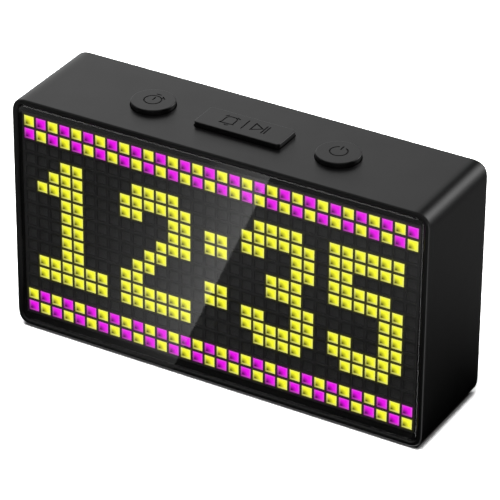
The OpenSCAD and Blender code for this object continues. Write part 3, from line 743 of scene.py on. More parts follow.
@dataclass
class Housing:
    """The moulded case: a rounded sleeve with a rim, a ledge for the display and holes for the buttons."""

    front_edge: float = 0.8
    rim_edge: float = 0.5
    soft_corner: float = 7.0
    bulge: float = 2.95
    side_rings: tuple[float, ...] = (32.0, 21.0, 10.0)
    hole_edge: float = 0.16
    tool_past: float = 1.0
    screw_r: float = 0.85
    boss_x: tuple[float, ...] = (-66.0, -22.0, 22.0, 66.0)
    boss_r: float = 1.5
    boss_flare: float = 0.4
    boss_sunk: float = 0.2
    boss_bore: float = 1.2
    post_inset: float = 4.0
    post_r: float = 4.5
    post_length: float = 14.0
    post_bore: float = 4.6
    post_screw_r: float = 1.25
    guide_r: float = 2.5
    guide_sunk: float = 0.3
    guide_length: float = 7.0
    guide_bore: float = 3.0
    foot_r: float = 4.7
    foot_top: float = 2.2

    def sleeve_rings(self) -> list[Ring]:
        """Rings round the wall's section, from the back's inner edge over the outside to the ledge and back.

        Returns:
            The rings in order.
        """
        s = SIZES
        ledge = (s.grid_w + s.grid_gap, s.grid_h + s.grid_gap, s.ledge_corner)
        rings = [self.inset(s.wall, s.depth)]
        rings += [self.inset(i, s.depth - d) for i, d in quarter(s.back_round)]
        rings += [self.inset(0, depth) for depth in self.side_rings]
        rings += [self.inset(i, d) for i, d in reversed(quarter(self.front_edge))]
        rings.append(self.inset(s.wall - self.rim_edge, 0.0))
        rings.append(self.inset(s.wall, self.rim_edge))
        rings.append(self.inset(s.wall, s.ledge_front))
        rings.append(s.outline(*ledge, s.ledge_front))
        rings.append(s.outline(*ledge, s.ledge_back))
        rings.append(self.inset(s.wall, s.ledge_back))
        return rings

    def inset(self, by: float, depth: float) -> Ring:
        """The case's outline moved inwards, at a depth behind the rim, softer outside than at the opening."""
        r, bulge = (SIZES.corner, 2.0) if by >= SIZES.wall - self.rim_edge else (self.soft_corner, self.bulge)
        return SIZES.outline(SIZES.width / 2 - by, SIZES.height / 2 - by, r - by, depth, bulge)

    def openings(self) -> Piece:
        """Volume of the three button holes, flared at the top face, and of the seats of the feet.

        Returns:
            The tool that cuts them.
        """
        s, sketch = SIZES, Sketch()
        flare = [(e, s.top - d) for e, d in reversed(eased(self.hole_edge))]
        steps = [(0.0, s.ceiling - self.tool_past), *flare, (self.hole_edge, s.top + self.tool_past)]
        steps = [(s.button_gap + e, z) for e, z in steps]
        for x in (-s.round_x, s.round_x):
            sketch.lathe([(s.round_d / 2 + e, z) for e, z in steps], Vector((x, s.button_y, 0)), UP, 72)
        sketch.loft([s.bar(e, z, 8) for e, z in steps])
        for x, y in s.feet:
            seat = [(self.foot_r, -self.tool_past), (self.foot_r, self.foot_top)]
            sketch.lathe(seat, Vector((x, y, 0)), UP)
        return sketch.finish("openings")

    def bosses(self) -> Piece:
        """Bosses, posts and button guides inside the case.

        Returns:
            Their object.
        """
        s, sketch = SIZES, Sketch()
        length = s.led_board - s.ledge_back
        boss = [(self.boss_r + self.boss_flare, -self.boss_sunk), (self.boss_r, self.boss_flare)]
        boss += [(self.boss_r, length), (self.screw_r, length), (self.screw_r, self.boss_bore)]
        post = [(self.post_r, 0.0), (self.post_r, self.post_length)]
        post += [(self.post_screw_r, self.post_length), (self.post_screw_r, self.post_bore)]
        guide = [(self.guide_r, self.guide_sunk), (self.guide_r, -self.guide_length)]
        guide += [(self.screw_r, -self.guide_length), (self.screw_r, -self.guide_bore)]
        for x in self.boss_x:
            for z in (-s.strip_z, s.strip_z):
                sketch.lathe(boss, s.at(x, s.ledge_back, z), BACKWARDS, 24)
        post_x, post_z = s.open_w / 2 - self.post_inset, s.open_h / 2 - self.post_inset
        for a, b in SQUARE:
            sketch.lathe(post, s.at(a * post_x, s.cover_front - self.post_length, b * post_z), BACKWARDS, 32)
        for x in s.guides:
            sketch.lathe(guide, Vector((x, s.button_y, s.ceiling)), UP, 32)
        return sketch.finish("bosses")

    def build(self) -> None:
        """Builds and dresses the case."""
        sketch = Sketch()
        sketch.loft(self.sleeve_rings(), round_trip=True)
        case = sketch.finish("case_sleeve")
        cut(case, self.openings())
        absorb(case, self.bosses())
        soften(case)
        dress(case, Finishes.CASE, "case", "housing")


@dataclass
class FrontWindow:
    """The smoked window in the rim, with polished bevels."""

    gap: float = 0.15
    front_bevel: float = 0.28
    back_bevel: float = 0.125
    sharp: float = 20.0

    def build(self) -> None:
        """Builds and dresses the window."""
        s, sketch = SIZES, Sketch()
        steps = [(self.front_bevel, s.window_front), (0.0, s.window_front + self.front_bevel)]
        steps += [(0.0, s.window_back - self.back_bevel), (self.back_bevel, s.window_back)]
        sketch.loft([s.opening(self.gap + inset, depth) for inset, depth in steps])
        window = sketch.finish("window_pane")
        soften(window, self.sharp)
        dress(window, Finishes.WINDOW, "case", "front_window")


class Cell(Enum):
    """What one pixel shows."""

    DARK = "dark"
    YELLOW = "yellow"
    MAGENTA = "magenta"


# Blocks of lit pixels in each sign: first column, first row, columns and rows
Stroke = tuple[int, int, int, int]
ONE: tuple[Stroke, ...] = ((2, 0, 2, 8), (1, 1, 1, 2), (0, 2, 1, 1), (0, 8, 6, 2))
TWO: tuple[Stroke, ...] = (
    (1, 0, 4, 1), (0, 1, 6, 1), (0, 2, 2, 1), (4, 2, 2, 2), (3, 4, 3, 1),
    (2, 5, 2, 1), (1, 6, 2, 1), (0, 7, 2, 1), (0, 8, 6, 2),
)
THREE: tuple[Stroke, ...] = (
    (1, 0, 4, 1), (0, 1, 6, 1), (0, 2, 2, 1), (4, 2, 2, 2), (2, 4, 3, 2),
    (4, 6, 2, 2), (0, 7, 2, 1), (0, 8, 6, 1), (1, 9, 4, 1),
)
FIVE: tuple[Stroke, ...] = (
    (0, 0, 6, 2), (0, 2, 2, 1), (0, 3, 5, 1), (0, 4, 6, 1),
    (4, 5, 2, 3), (0, 7, 2, 1), (0, 8, 6, 1), (1, 9, 4, 1),
)
COLON: tuple[Stroke, ...] = ((0, 2, 2, 2), (0, 6, 2, 2))
SIGNS = ((1, ONE), (8, TWO), (15, COLON), (18, THREE), (25, FIVE))


@dataclass
class PixelDisplay:
    """The grid of light wells and the lenses in it."""

    lens: float = 3.7
    lens_edge: float = 0.12
    room_corner: float = 0.2
    border_rows: int = 2
    sign_row: int = 3
    # Painted light that lit lenses spill onto the grid's face and wells; painted shade between lit pixels and
    # on dark wells.
    fade: float = 0.24
    painted_spill_strength: float = 0.2
    painted_spill_above: Flat = (0.75, 0.4)
    painted_spill_range: Flat = (0.5, 1.05)
    painted_shade_reach: float = 0.9
    lone_painted_shade: float = 0.6
    dark_wall_painted_light: float = 0.012
    dark_wall_painted_shade: float = 0.55
    wall_painted_light: float = 1.7
    wall_painted_levels: tuple[Flat, ...] = ((0.62, 1.15), (1.15, 1.2), (1.3, 1.3), (1.35, 0.36))
    # Colours of the painted light on the walls of lit wells, then of the painted spill on the grid's face.
    pale: dict[Cell, Colour] = field(default_factory=lambda: {
        Cell.YELLOW: tone(238, 238, 118), Cell.MAGENTA: tone(208, 78, 200),
    })
    painted_spill_hue: dict[Cell, Colour] = field(default_factory=lambda: {
        Cell.YELLOW: tone(250, 250, 20), Cell.MAGENTA: tone(245, 30, 245),
    })

    @property
    def cells(self) -> list[tuple[int, int]]:
        """Column from the left and row from the top of every pixel."""
        return [(c, r) for c in range(SIZES.columns) for r in range(SIZES.rows)]

    def shown(self, column: int, row: int) -> Cell:
        """What the pixel in a column and row shows.

        Args:
            column: Column from the left.
            row: Row from the top.

        Returns:
            Its state.
        """
        if row < self.border_rows or row >= SIZES.rows - self.border_rows:
            return Cell.YELLOW if (column + row) % 2 == 0 else Cell.MAGENTA
        for first, strokes in SIGNS:
            for c, r, w, h in strokes:
                if 0 <= column - first - c < w and 0 <= row - self.sign_row - r < h:
                    return Cell.YELLOW
        return Cell.DARK

    def centre(self, column: int, row: int) -> Flat:
        """Middle of a pixel, right of and above the middle of the face."""
        s = SIZES
        return (column - (s.columns - 1) / 2) * s.pitch_x, ((s.rows - 1) / 2 - row) * s.pitch_z

    def lines(self, count: int, pitch: float) -> list[float]:
        """Places that divide the grid's face one way: the sides of its wells and the middles between them."""
        middles = [(i - (count - 1) / 2) * pitch for i in range(-1, count)]
        return [m + v for m in middles for v in (SIZES.well / 2, pitch / 2, pitch - SIZES.well / 2)]

    def painted_spill(self, x: float, z: float) -> tuple[float, float, float, float]:
        """Painted light on the grid's face at a point from the lit pixels near it, and painted shade there.

        Args:
            x: Distance right of the middle.
            z: Distance above the middle.

        Returns:
            The painted light, and how far the painted shade darkens the face between two lit pixels, from 0
            to 1.
        """
        s, light, painted_shades = SIZES, [0.0, 0.0, 0.0], [0.0, 0.0]
        near_c = round(x / s.pitch_x + (s.columns - 1) / 2)
        near_r = round((s.rows - 1) / 2 - z / s.pitch_z)
        for c in range(max(0, near_c - 1), min(s.columns, near_c + 2)):
            for r in range(max(0, near_r - 1), min(s.rows, near_r + 2)):
                state = self.shown(c, r)
                if state is Cell.DARK:
                    continue
                cx, cz = self.centre(c, r)
                away = max(0.0, max(abs(x - cx), abs(z - cz)) - s.well / 2)
                above = self.painted_spill_above[0] + self.painted_spill_above[1] * (z - cz) / s.well
                above = min(self.painted_spill_range[1], max(self.painted_spill_range[0], above))
                part = self.painted_spill_strength * above * math.exp(-away / self.fade)
                light = [v + part * h for v, h in zip(light, self.painted_spill_hue[state])]
                painted_shades.append(math.exp(-away / self.painted_shade_reach))
        second, first = sorted(painted_shades)[-2:]
        return light[0], light[1], light[2], max(second, self.lone_painted_shade * first)

    def grid(self) -> Piece:
        """Builds the grid: its front face, its wells, its sides and its flange.

        Returns:
            The grid.
        """
        s, sketch = SIZES, Sketch()
        layer = sketch.bm.verts.layers.float_color.new("painted_spill_light")
        xs, zs = self.lines(s.columns, s.pitch_x), self.lines(s.rows, s.pitch_z)
        wells = {(3 * c + 2, 3 * r + 2) for c, r in self.cells}
        # The grid's face carries painted light and painted shade at each of its points.
        sketch.net(xs, zs, layer, lambda x, z: (s.at(x, s.grid_front, z), self.painted_spill(x, z)), wells)
        for c, r in self.cells:
            self.add_well(sketch, layer, c, r)
        lit = set(sketch.bm.verts)
        self.walls(sketch, (0.0, 0.0), (s.grid_w, s.grid_h))
        wide, tall = s.open_w / 2 - s.stack_gap, s.open_h / 2 - s.stack_gap
        for z0, z1 in ((-tall, -s.grid_h), (s.grid_h, tall)):
            sketch.block(s.at(-wide, s.ledge_back, z0), s.at(wide, s.grid_back, z1))
        for vert in set(sketch.bm.verts) - lit:
            vert[layer] = (0, 0, 0, 0)
        return sketch.finish("pixel_grid_mould", outward=False)

    def walls(self, sketch: Sketch, middle: Flat, half: Flat) -> list[bmesh.types.BMFace]:
        """Adds four walls from the grid's front to its back.

        Args:
            sketch: The grid's sketch.
            middle: Their middle, right of and above the middle of the face.
            half: Half the distance between them, across and up.

        Returns:
            The lower, right, upper and left wall.
        """
        s, made = SIZES, []
        corners = [(middle[0] + a * half[0], middle[1] + b * half[1]) for a, b in SQUARE]
        for a, b in zip(corners, corners[1:] + corners[:1]):
            front = [s.at(p[0], s.grid_front, p[1]) for p in (a, b)]
            made.append(sketch.quad([*front, *(s.at(p[0], s.grid_back, p[1]) for p in (b, a))]))
        return made

    def add_well(self, sketch: Sketch, layer: object, column: int, row: int) -> None:
        """Adds the four walls of one light well, with painted light and painted shade on them.

        Args:
            sketch: The grid's sketch.
            layer: Its layer of caught light.
            column: Column from the left.
            row: Row from the top.
        """
        half, state = SIZES.well / 2, self.shown(column, row)
        faces = self.walls(sketch, self.centre(column, row), (half, half))
        for face, (start, end) in zip(faces, self.wall_painted_levels):
            for vert, level in zip(face.verts, (start, end, end, start)):
                # Dark wells get faint painted light and painted shade; lit wells get painted light in their
                # lens's pale colour.
                if state is Cell.DARK:
                    vert[layer] = (*3 * (self.dark_wall_painted_light,), self.dark_wall_painted_shade)
                else:
                    vert[layer] = (*(self.wall_painted_light * level * v for v in self.pale[state]), 1)

    def lenses(self, state: Cell) -> Piece:
        """Builds the lenses of all pixels in one state.

        Args:
            state: What the pixels show.

        Returns:
            Their object.
        """
        sketch = Sketch()
        place = sketch.bm.loops.layers.uv.new("cell")
        for c, r in self.cells:
            if self.shown(c, r) is state:
                self.add_lens(sketch, place, *self.centre(c, r))
        return sketch.finish("lenses_" + state.value)

    def add_lens(self, sketch: Sketch, place: object, x: float, z: float) -> None:
        """Adds one lens: a square boss with a small edge round its face.

        Args:
            sketch: The lenses' sketch.
            place: Layer for the place inside the pixel.
            x: Its middle, right of the middle of the face.
            z: Its middle, above the middle of the face.
        """
        s, before, rings = SIZES, len(sketch.bm.faces), []
        for inset, down in (*eased(self.lens_edge), (0.0, s.grid_back - s.lens_front)):
            side = self.lens / 2 - inset
            rings.append([s.at(x + a * side, s.lens_front + down, z + b * side) for a, b in SQUARE])
        sketch.loft(rings)
        sketch.bm.faces.ensure_lookup_table()
        for face in sketch.bm.faces[before:]:
            for loop in face.loops:
                point = loop.vert.co / MM - s.at(x, 0.0, z)
                loop[place].uv = (point.x / self.lens + 0.5, point.z / self.lens + 0.5)

    def sheet(self) -> Piece:
        """Builds the sheet that joins the lenses, with the rim that stands on the LED board.

        Returns:
            The sheet.
        """
        s, sketch = SIZES, Sketch()
        room = (s.columns * s.pitch_x / 2, s.rows * s.pitch_z / 2, self.room_corner)
        rings = [s.opening(s.stack_gap, depth) for depth in (s.grid_back, s.led_board)]
        sketch.loft(rings + [s.outline(*room, depth) for depth in (s.led_board, s.plate_back)])
        return sketch.finish("lens_sheet")

    def build(self) -> None:
        """Builds and dresses the grid, the lenses and their sheet."""
        dress(self.grid(), Finishes.GRID, "case", "pixel_grid")
        for state, finish in zip(Cell, (Finishes.DARK_LENS, Finishes.YELLOW, Finishes.MAGENTA)):
            dress(self.lenses(state), finish, "case", "lens_plate")
        dress(self.sheet(), Finishes.LENS_SHEET, "case", "lens_plate")


@dataclass(frozen=True)
class Groove:
    """One engraved line of an icon, with how far its tool stands up and its sharpest mitre."""

    points: Sequence[Flat]
    closed: bool = False
    rise: float = 0.3
    mitre: float = 0.35

    def rings(self, origin: Vector, width: float, depth: float) -> list[Ring]:
        """Sections of the groove's cutting tool, mitred at its corners.

        Args:
            origin: Middle of the button's top face.
            width: Width of the line.
            depth: Depth of the line.

        Returns:
            One ring of four points at each point of the line.
        """
        line = [Vector(p) for p in self.points]
        count, rings = len(line), []
        for i, p in enumerate(line):
            before = line[i - 1] if i > 0 or self.closed else None
            after = line[(i + 1) % count] if i < count - 1 or self.closed else None
            into = (p - before).normalized() if before is not None else (after - p).normalized()
            away = (after - p).normalized() if after is not None else into
            normal = Vector((-(into + away).y, (into + away).x)).normalized()
            reach = width / 2 / max(self.mitre, normal.dot(Vector((-into.y, into.x))))
            left, right = p + normal * reach, p - normal * reach
            section = ((left, self.rise), (right, self.rise), (right, -depth), (left, -depth))
            rings.append([origin + Vector((q.x, q.y, h)) for q, h in section])
        return rings


STOPWATCH = (
    Groove(circle(-0.25, 0.0, 3.15), True),
    Groove(((-0.25, -0.2), (-0.25, 2.1))),
    Groove(((-1.3, 4.4), (0.8, 4.4))),
    Groove(((1.95, 2.4), (2.55, 3.0))),
    Groove(((1.9, 3.6), (3.4, 2.1))),
)
BELL_AND_PLAY = (
    Groove((
        (-9.1, -2.0), (-8.6, -1.3), (-8.6, 1.5), (-8.2, 2.6), (-7.2, 3.2),
        (-5.3, 3.2), (-4.4, 2.6), (-4.1, 1.5), (-4.1, -1.1), (-3.8, -1.7),
    ), True),
    Groove(circle(-6.1, -2.2, 0.8, 200, 340, 8)),
    Groove(((-9.3, 2.7), (-8.3, 4.0))),
    Groove(((-4.8, 3.6), (-3.3, 2.7))),
    Groove(((-0.2, -2.7), (-0.2, 4.0))),
    Groove(((3.0, -1.5), (3.0, 3.4), (6.8, 0.95)), True),
    Groove(((7.5, -2.0), (7.5, 3.5))),
    Groove(((8.6, -2.0), (8.6, 3.5))),
)
POWER = (
    Groove(circle(-0.2, 0.55, 3.2, 113, 427, 40)),
    Groove(((-0.2, 1.8), (-0.2, 4.3))),
)


@dataclass
class TopButtons:
    """The three press buttons with engraved icons, their flanges and stems."""

    fillet: float = 0.36
    skirt: float = 1.2
    flange_t: float = 1.2
    flange_reach: float = 1.5
    flange_corner: float = 0.3
    flange_gap: float = 0.02
    tab_r: float = 4.2
    tab_hole: float = 2.8
    stem_r: float = 2.5
    stem_low: float = 90.3
    stem_edge: float = 0.3
    line_w: float = 0.52
    line_d: float = 0.42

    @property
    def base(self) -> float:
        """Height of the flanges' lower faces above the floor."""
        return SIZES.ceiling - self.flange_t

    @property
    def crown(self) -> float:
        """Height of the buttons' top faces above the floor."""
        return SIZES.top + SIZES.button_proud

    @property
    def steps(self) -> list[Flat]:
        """Rings of a cap from its top down: how far out of its side and how high above the floor."""
        rounding = [(-i, self.crown - d) for i, d in quarter(self.fillet, 6)]
        return [*rounding, (0.0, SIZES.top - self.skirt), (0.0, self.base)]

    def engrave(self, cap: Piece, icon: Sequence[Groove], x: float) -> None:
        """Cuts an icon into a cap's top face.

        Args:
            cap: The cap.
            icon: The icon's lines.
            x: Place of the cap across the clock.
        """
        sketch = Sketch()
        for groove in icon:
            rings = groove.rings(Vector((x, SIZES.button_y, self.crown)), self.line_w, self.line_d)
            sketch.loft(rings, round_trip=groove.closed)
        tool = sketch.finish("icon_tool")
        tool.data.materials.append(Finishes.ICON.material())
        cap.data.materials.append(Finishes.BUTTON.material())
        cut(cap, tool)

    def flange(self, x: float, plate: Sequence[Flat], tabs: Sequence[float]) -> Piece:
        """Builds the stop flange under a button, its guide rings and its stem.

        Args:
            x: Place of the button across the clock.
            plate: Outline of the flange about the button's middle.
            tabs: Places of the guide rings across the clock.

        Returns:
            The flange.
        """
        sketch, y = Sketch(), SIZES.button_y
        low, high = self.base, SIZES.ceiling - self.flange_gap
        sketch.loft([[Vector((x + a, y + b, z)) for a, b in plate] for z in (low, high)])
        ring = [(self.tab_hole, low), (self.tab_r, low), (self.tab_r, high), (self.tab_hole, high)]
        for tab in tabs:
            sketch.lathe(ring, Vector((tab, y, 0)), UP, 40, round_trip=True)
        r, edge = self.stem_r, self.stem_edge
        stem = [(r - edge, self.stem_low), (r, self.stem_low + edge), (r, low + edge)]
        sketch.lathe(stem, Vector((x, y, 0)), UP, 32)
        return sketch.finish("flange")

    def build(self) -> None:
        """Builds and dresses the three buttons."""
        s, reach = SIZES, self.flange_reach
        disc = circle(0, 0, s.round_d / 2 + reach, steps=64)
        plate = rounded(s.bar_w / 2 + reach, s.bar_d / 2 + reach, self.flange_corner, 3)
        for name, x, icon, outline, tabs in (
            ("timer", -s.round_x, STOPWATCH, disc, s.guides[:1]),
            ("power", s.round_x, POWER, disc, s.guides[3:]),
            ("alarm", 0.0, BELL_AND_PLAY, plate, s.guides[1:3]),
        ):
            sketch = Sketch()
            if outline is plate:
                sketch.loft([s.bar(e, z, 10) for e, z in self.steps])
            else:
                profile = [(s.round_d / 2 + e, z) for e, z in self.steps]
                sketch.lathe(profile, Vector((x, s.button_y, 0)), UP, 96)
            cap = sketch.finish(name + "_cap")
            self.engrave(cap, icon, x)
            absorb(cap, self.flange(x, outline, tabs))
            soften(cap)
            dress(cap, Finishes.BUTTON, name + "_key", name + "_button")


@dataclass
class Feet:
    """Four rubber feet with rounded edges and a shallow hollow."""

    radius: float = 4.5
    height: float = 2.2
    hollow: tuple[Flat, ...] = ((1.6, 0.25), (1.9, 0.0))
    edge: tuple[Flat, ...] = ((0.5, 0.0), (0.2, 0.08), (0.05, 0.25), (0.0, 0.5))
    sharp: float = 50.0

    def build(self) -> None:
        """Builds and dresses the feet."""
        sketch = Sketch()
        edge = [(self.radius - inset, z) for inset, z in self.edge]
        for x, y in SIZES.feet:
            sketch.lathe([*self.hollow, *edge, (self.radius, self.height)], Vector((x, y, 0)), UP, 40)
        feet = sketch.finish("rubber_feet")
        soften(feet, self.sharp)
        dress(feet, Finishes.RUBBER, "case", "feet")


@dataclass
class InnerWorks:
    """The solids that keep their own shape and only get a finish."""

    solids: tuple[tuple[Finish, tuple[str, ...]], ...] = (
        (Finishes.ADHESIVE, ("window_tape",)),
        (Finishes.BOARD, ("led_board", "main_board", "button_board")),
        (Finishes.LED, ("led_chips",)),
        (Finishes.CHIP, ("led_drivers", "controller_chip", "board_parts")),
        (Finishes.CHIP, ("usb_tongue", "coin_cell_holder", "switch_bodies")),
        (Finishes.STEEL, ("display_screws", "main_board_screws", "speaker_screws", "button_board_screws")),
        (Finishes.FILM, ("display_ribbon", "button_ribbon")),
        (Finishes.SOCKET, ("ribbon_sockets",)),
        (Finishes.USB, ("usb_socket",)),
        (Finishes.CELL, ("coin_cell",)),
        (Finishes.FOAM, ("speaker_gasket",)),
        (Finishes.BASKET, ("speaker_frame",)),
        (Finishes.PAPER, ("speaker_cone",)),
        (Finishes.FERRITE, ("speaker_magnet",)),
        (Finishes.LEAD, ("speaker_leads",)),
        (Finishes.PLUNGER, ("timer_plunger", "alarm_plunger", "power_plunger")),
        (Finishes.CASE, ("rear_cover",)),
        (Finishes.BLACK_STEEL, ("cover_screws",)),
    )

    def build(self) -> None:
        """Puts each finish on its solids."""
        for finish, names in self.solids:
            for name in names:
                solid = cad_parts[name]
                solid.data.materials.clear()
                solid.data.materials.append(finish.material())
                log.info("%s: solid in %s", name, finish.name)


@dataclass(frozen=True)
class Lamp:
    """The soft lamp above the clock."""

    name: str = "top_softbox"
    place: Spot = (0.0, -0.3, 1.25)
    aim: Spot = (0.0, 0.0, 0.05)
    side: float = 0.8
    power: float = 17.0

    def build(self) -> None:
        """Adds the lamp to the scene."""
        data = bpy.data.lights.new(self.name, "AREA")
        data.shape, data.size, data.size_y, data.energy = "RECTANGLE", self.side, self.side, self.power
        lamp = bpy.data.objects.new(self.name, data)
        bpy.context.scene.collection.objects.link(lamp)
        lamp.location = self.place
        lamp.rotation_euler = (Vector(self.place) - Vector(self.aim)).to_track_quat("Z", "Y").to_euler()
        lamp.visible_glossy = False


@dataclass(frozen=True)
class SoftBox:
    """A round soft box that only gloss sees: where it hangs, its inner and outer angle, and its light."""

    way: Spot
    reach: Flat
    light: float

    def lay(self, sheet: NodeSheet, way: Socket) -> Socket:
        """Adds the nodes of the box.

        Args:
            sheet: The nodes of the surroundings.
            way: Direction that gloss looks in.

        Returns:
            The box's brightness there.
        """
        angle = sheet.math("ARCCOSINE", sheet.measure("DOT_PRODUCT", way, Vector(self.way).normalized()))
        bright, outer = (math.radians(a) for a in self.reach)
        return sheet.spread(angle, (bright, outer), (self.light, 0), smooth=True)


@dataclass(frozen=True)
class Surroundings:
    """White to the eye, a studio to gloss, and a weaker even fill for the rest."""

    fill: float = 0.2
    front_fade: Flat = (-0.45, 0.5)
    front_power: float = 1.6
    side_fade: Flat = (-0.43, -0.265)
    side_light: Flat = (1.13, 0.05)
    strip_way: Flat = (-0.5, 0.055)
    strip_gain: float = 2.0
    boxes: tuple[SoftBox, ...] = (
        SoftBox((0.485, 0.755, 0.44), (3.0, 37.0), 3.75),
        SoftBox((0.1, 0.1, 1.0), (4.0, 22.0), 0.6),
        SoftBox((0.25, -0.85, 0.4), (8.0, 36.0), 0.5),
    )

    def build(self) -> None:
        """Lays out the surroundings' nodes."""
        world = bpy.data.worlds.new("surroundings")
        bpy.context.scene.world = world
        sheet = NodeSheet(world)
        path = sheet.add("LightPath").outputs
        seen = sheet.math("MAXIMUM", path["Is Camera Ray"], path["Is Transmission Ray"])
        plain = sheet.spread(seen, (0, 1), (self.fill, 1))
        sheet.set("Strength", sheet.blend(path["Is Glossy Ray"], plain, self.gloss(sheet)))
        sheet.set("Color", (1, 1, 1))

    def gloss(self, sheet: NodeSheet) -> Socket:
        """Lays out what gloss sees above the horizon: white behind, dark in front, a strip and soft boxes.

        Args:
            sheet: The nodes of the surroundings.

        Returns:
            The brightness.
        """
        way = sheet.add("TexCoord").outputs["Generated"]
        across, along, _ = sheet.add("SeparateXYZ", Vector=way).outputs
        front = sheet.math("POWER", sheet.spread(along, self.front_fade, (0, 1)), self.front_power)
        side = sheet.spread(across, self.side_fade, self.side_light, smooth=True)
        strip = sheet.spread(sheet.math("COMPARE", along, *self.strip_way), (0, 1), (0, self.strip_gain))
        sky = sheet.math("ADD", sheet.math("MULTIPLY", front, side), strip)
        for box in self.boxes:
            sky = sheet.math("ADD", sky, box.lay(sheet, way))
        return sky


def shaded_sheet(
    name: str, xs: Sequence[float], ys: Sequence[float], level: Level, z: float, lean: float = 0.0
) -> tuple[Piece, NodeSheet]:
    """Lays out a flat sheet with a shade at each of its points and a material of its own.

    Args:
        name: Name of the sheet.
        xs: Places across the clock where its shade is set, in millimetres.
        ys: Places along its depth.
        level: Shade at a place.
        z: Height above the floor.
        lean: Shift across the clock for each millimetre in front of it.

    Returns:
        The sheet and its material's nodes.
    """
    def point(x: float, y: float) -> tuple[Vector, Sequence[float]]:
        """Place and shade of one point."""
        across = x + lean * (-SIZES.depth / 2 - y)
        return Vector((across, y, z)), (*3 * (level(across, y),), 1)

    sketch = Sketch()
    sketch.net(xs, ys, sketch.bm.verts.layers.float_color.new("shade"), point)
    made = sketch.finish(name, outward=False)
    paint = bpy.data.materials.new(name)
    made.data.materials.append(paint)
    return made, NodeSheet(paint)


@dataclass(frozen=True)
class Floor:
    """A pale floor that is white to the eye and keeps the clock's shadow, with a painted contact shadow round
    its foot.
    """

    gain: float = 2.5
    grey: float = 0.22
    side_painted_shadow: Flat = (-2.8, 1.2)
    front_painted_shadow: Flat = (-2.3, 2.6)
    painted_shadow_power: float = 1.5
    far: Flat = (300.0, 900.0)
    far_steps: tuple[float, ...] = (6000.0, 1400.0, 700.0, 300.0, 40.0, 1.0)
    near_start: float = 0.6
    near_step: float = 0.2
    near_count: int = 20
    under_steps: tuple[float, ...] = (-8.0, -16.0)

    def level(self, x: float, y: float) -> float:
        """Painted contact shadow: the share of light that is left on the floor.

        Args:
            x: Place across the clock.
            y: Place along its depth.

        Returns:
            The share, from 0 under the clock to 1 beside it, and up to 2 where the lamp hardly reaches.
        """
        right, ahead = abs(x) - SIZES.width / 2, abs(y) - SIZES.depth / 2
        near = max(ramp(right, self.side_painted_shadow), ramp(ahead, self.front_painted_shadow))
        return near ** self.painted_shadow_power + ramp(max(right, ahead), self.far)

    def build(self) -> None:
        """Lays the floor."""
        near = [self.near_start - self.near_step * i for i in range(self.near_count)]
        steps = [*self.far_steps, *near, *self.under_steps]
        xs, ys = (
            [*(-half - v for v in steps), *(half + v for v in reversed(steps))]
            for half in (SIZES.width / 2, SIZES.depth / 2)
        )
        _, sheet = shaded_sheet("floor", xs, ys, self.level, 0.0)
        sheet.swap("BsdfDiffuse")
        path = sheet.add("LightPath").outputs
        seen = sheet.math("MAXIMUM", path["Is Camera Ray"], path["Is Glossy Ray"])
        seen = sheet.math("MAXIMUM", seen, path["Is Transmission Ray"])
        # Painted shadow: the floor's colour follows the shade painted at its points, on top of its real
        # shadow.
        shade = sheet.add("Attribute", attribute_name="shade").outputs["Fac"]
        light = sheet.spread(shade, (0, 2), (0, 2 * self.gain))
        sheet.set("Color", sheet.blend(seen, 3 * (self.grey,), light))


@dataclass(frozen=True)
class Mirrored:
    """A card in front of the clock, brightest along its right edge, for one part of the clock to mirror."""

    name: str
    light: float
    edge: Flat
    fade: float
    power: float
    span: Flat

    def level(self, x: float, away: float) -> float:
        """Brightness at a place across the clock and a distance in front of it."""
        inside = 1 - (self.edge[0] + self.edge[1] * away - x) / self.fade
        return self.light * ramp(away, self.span) * max(0.0, inside) ** self.power


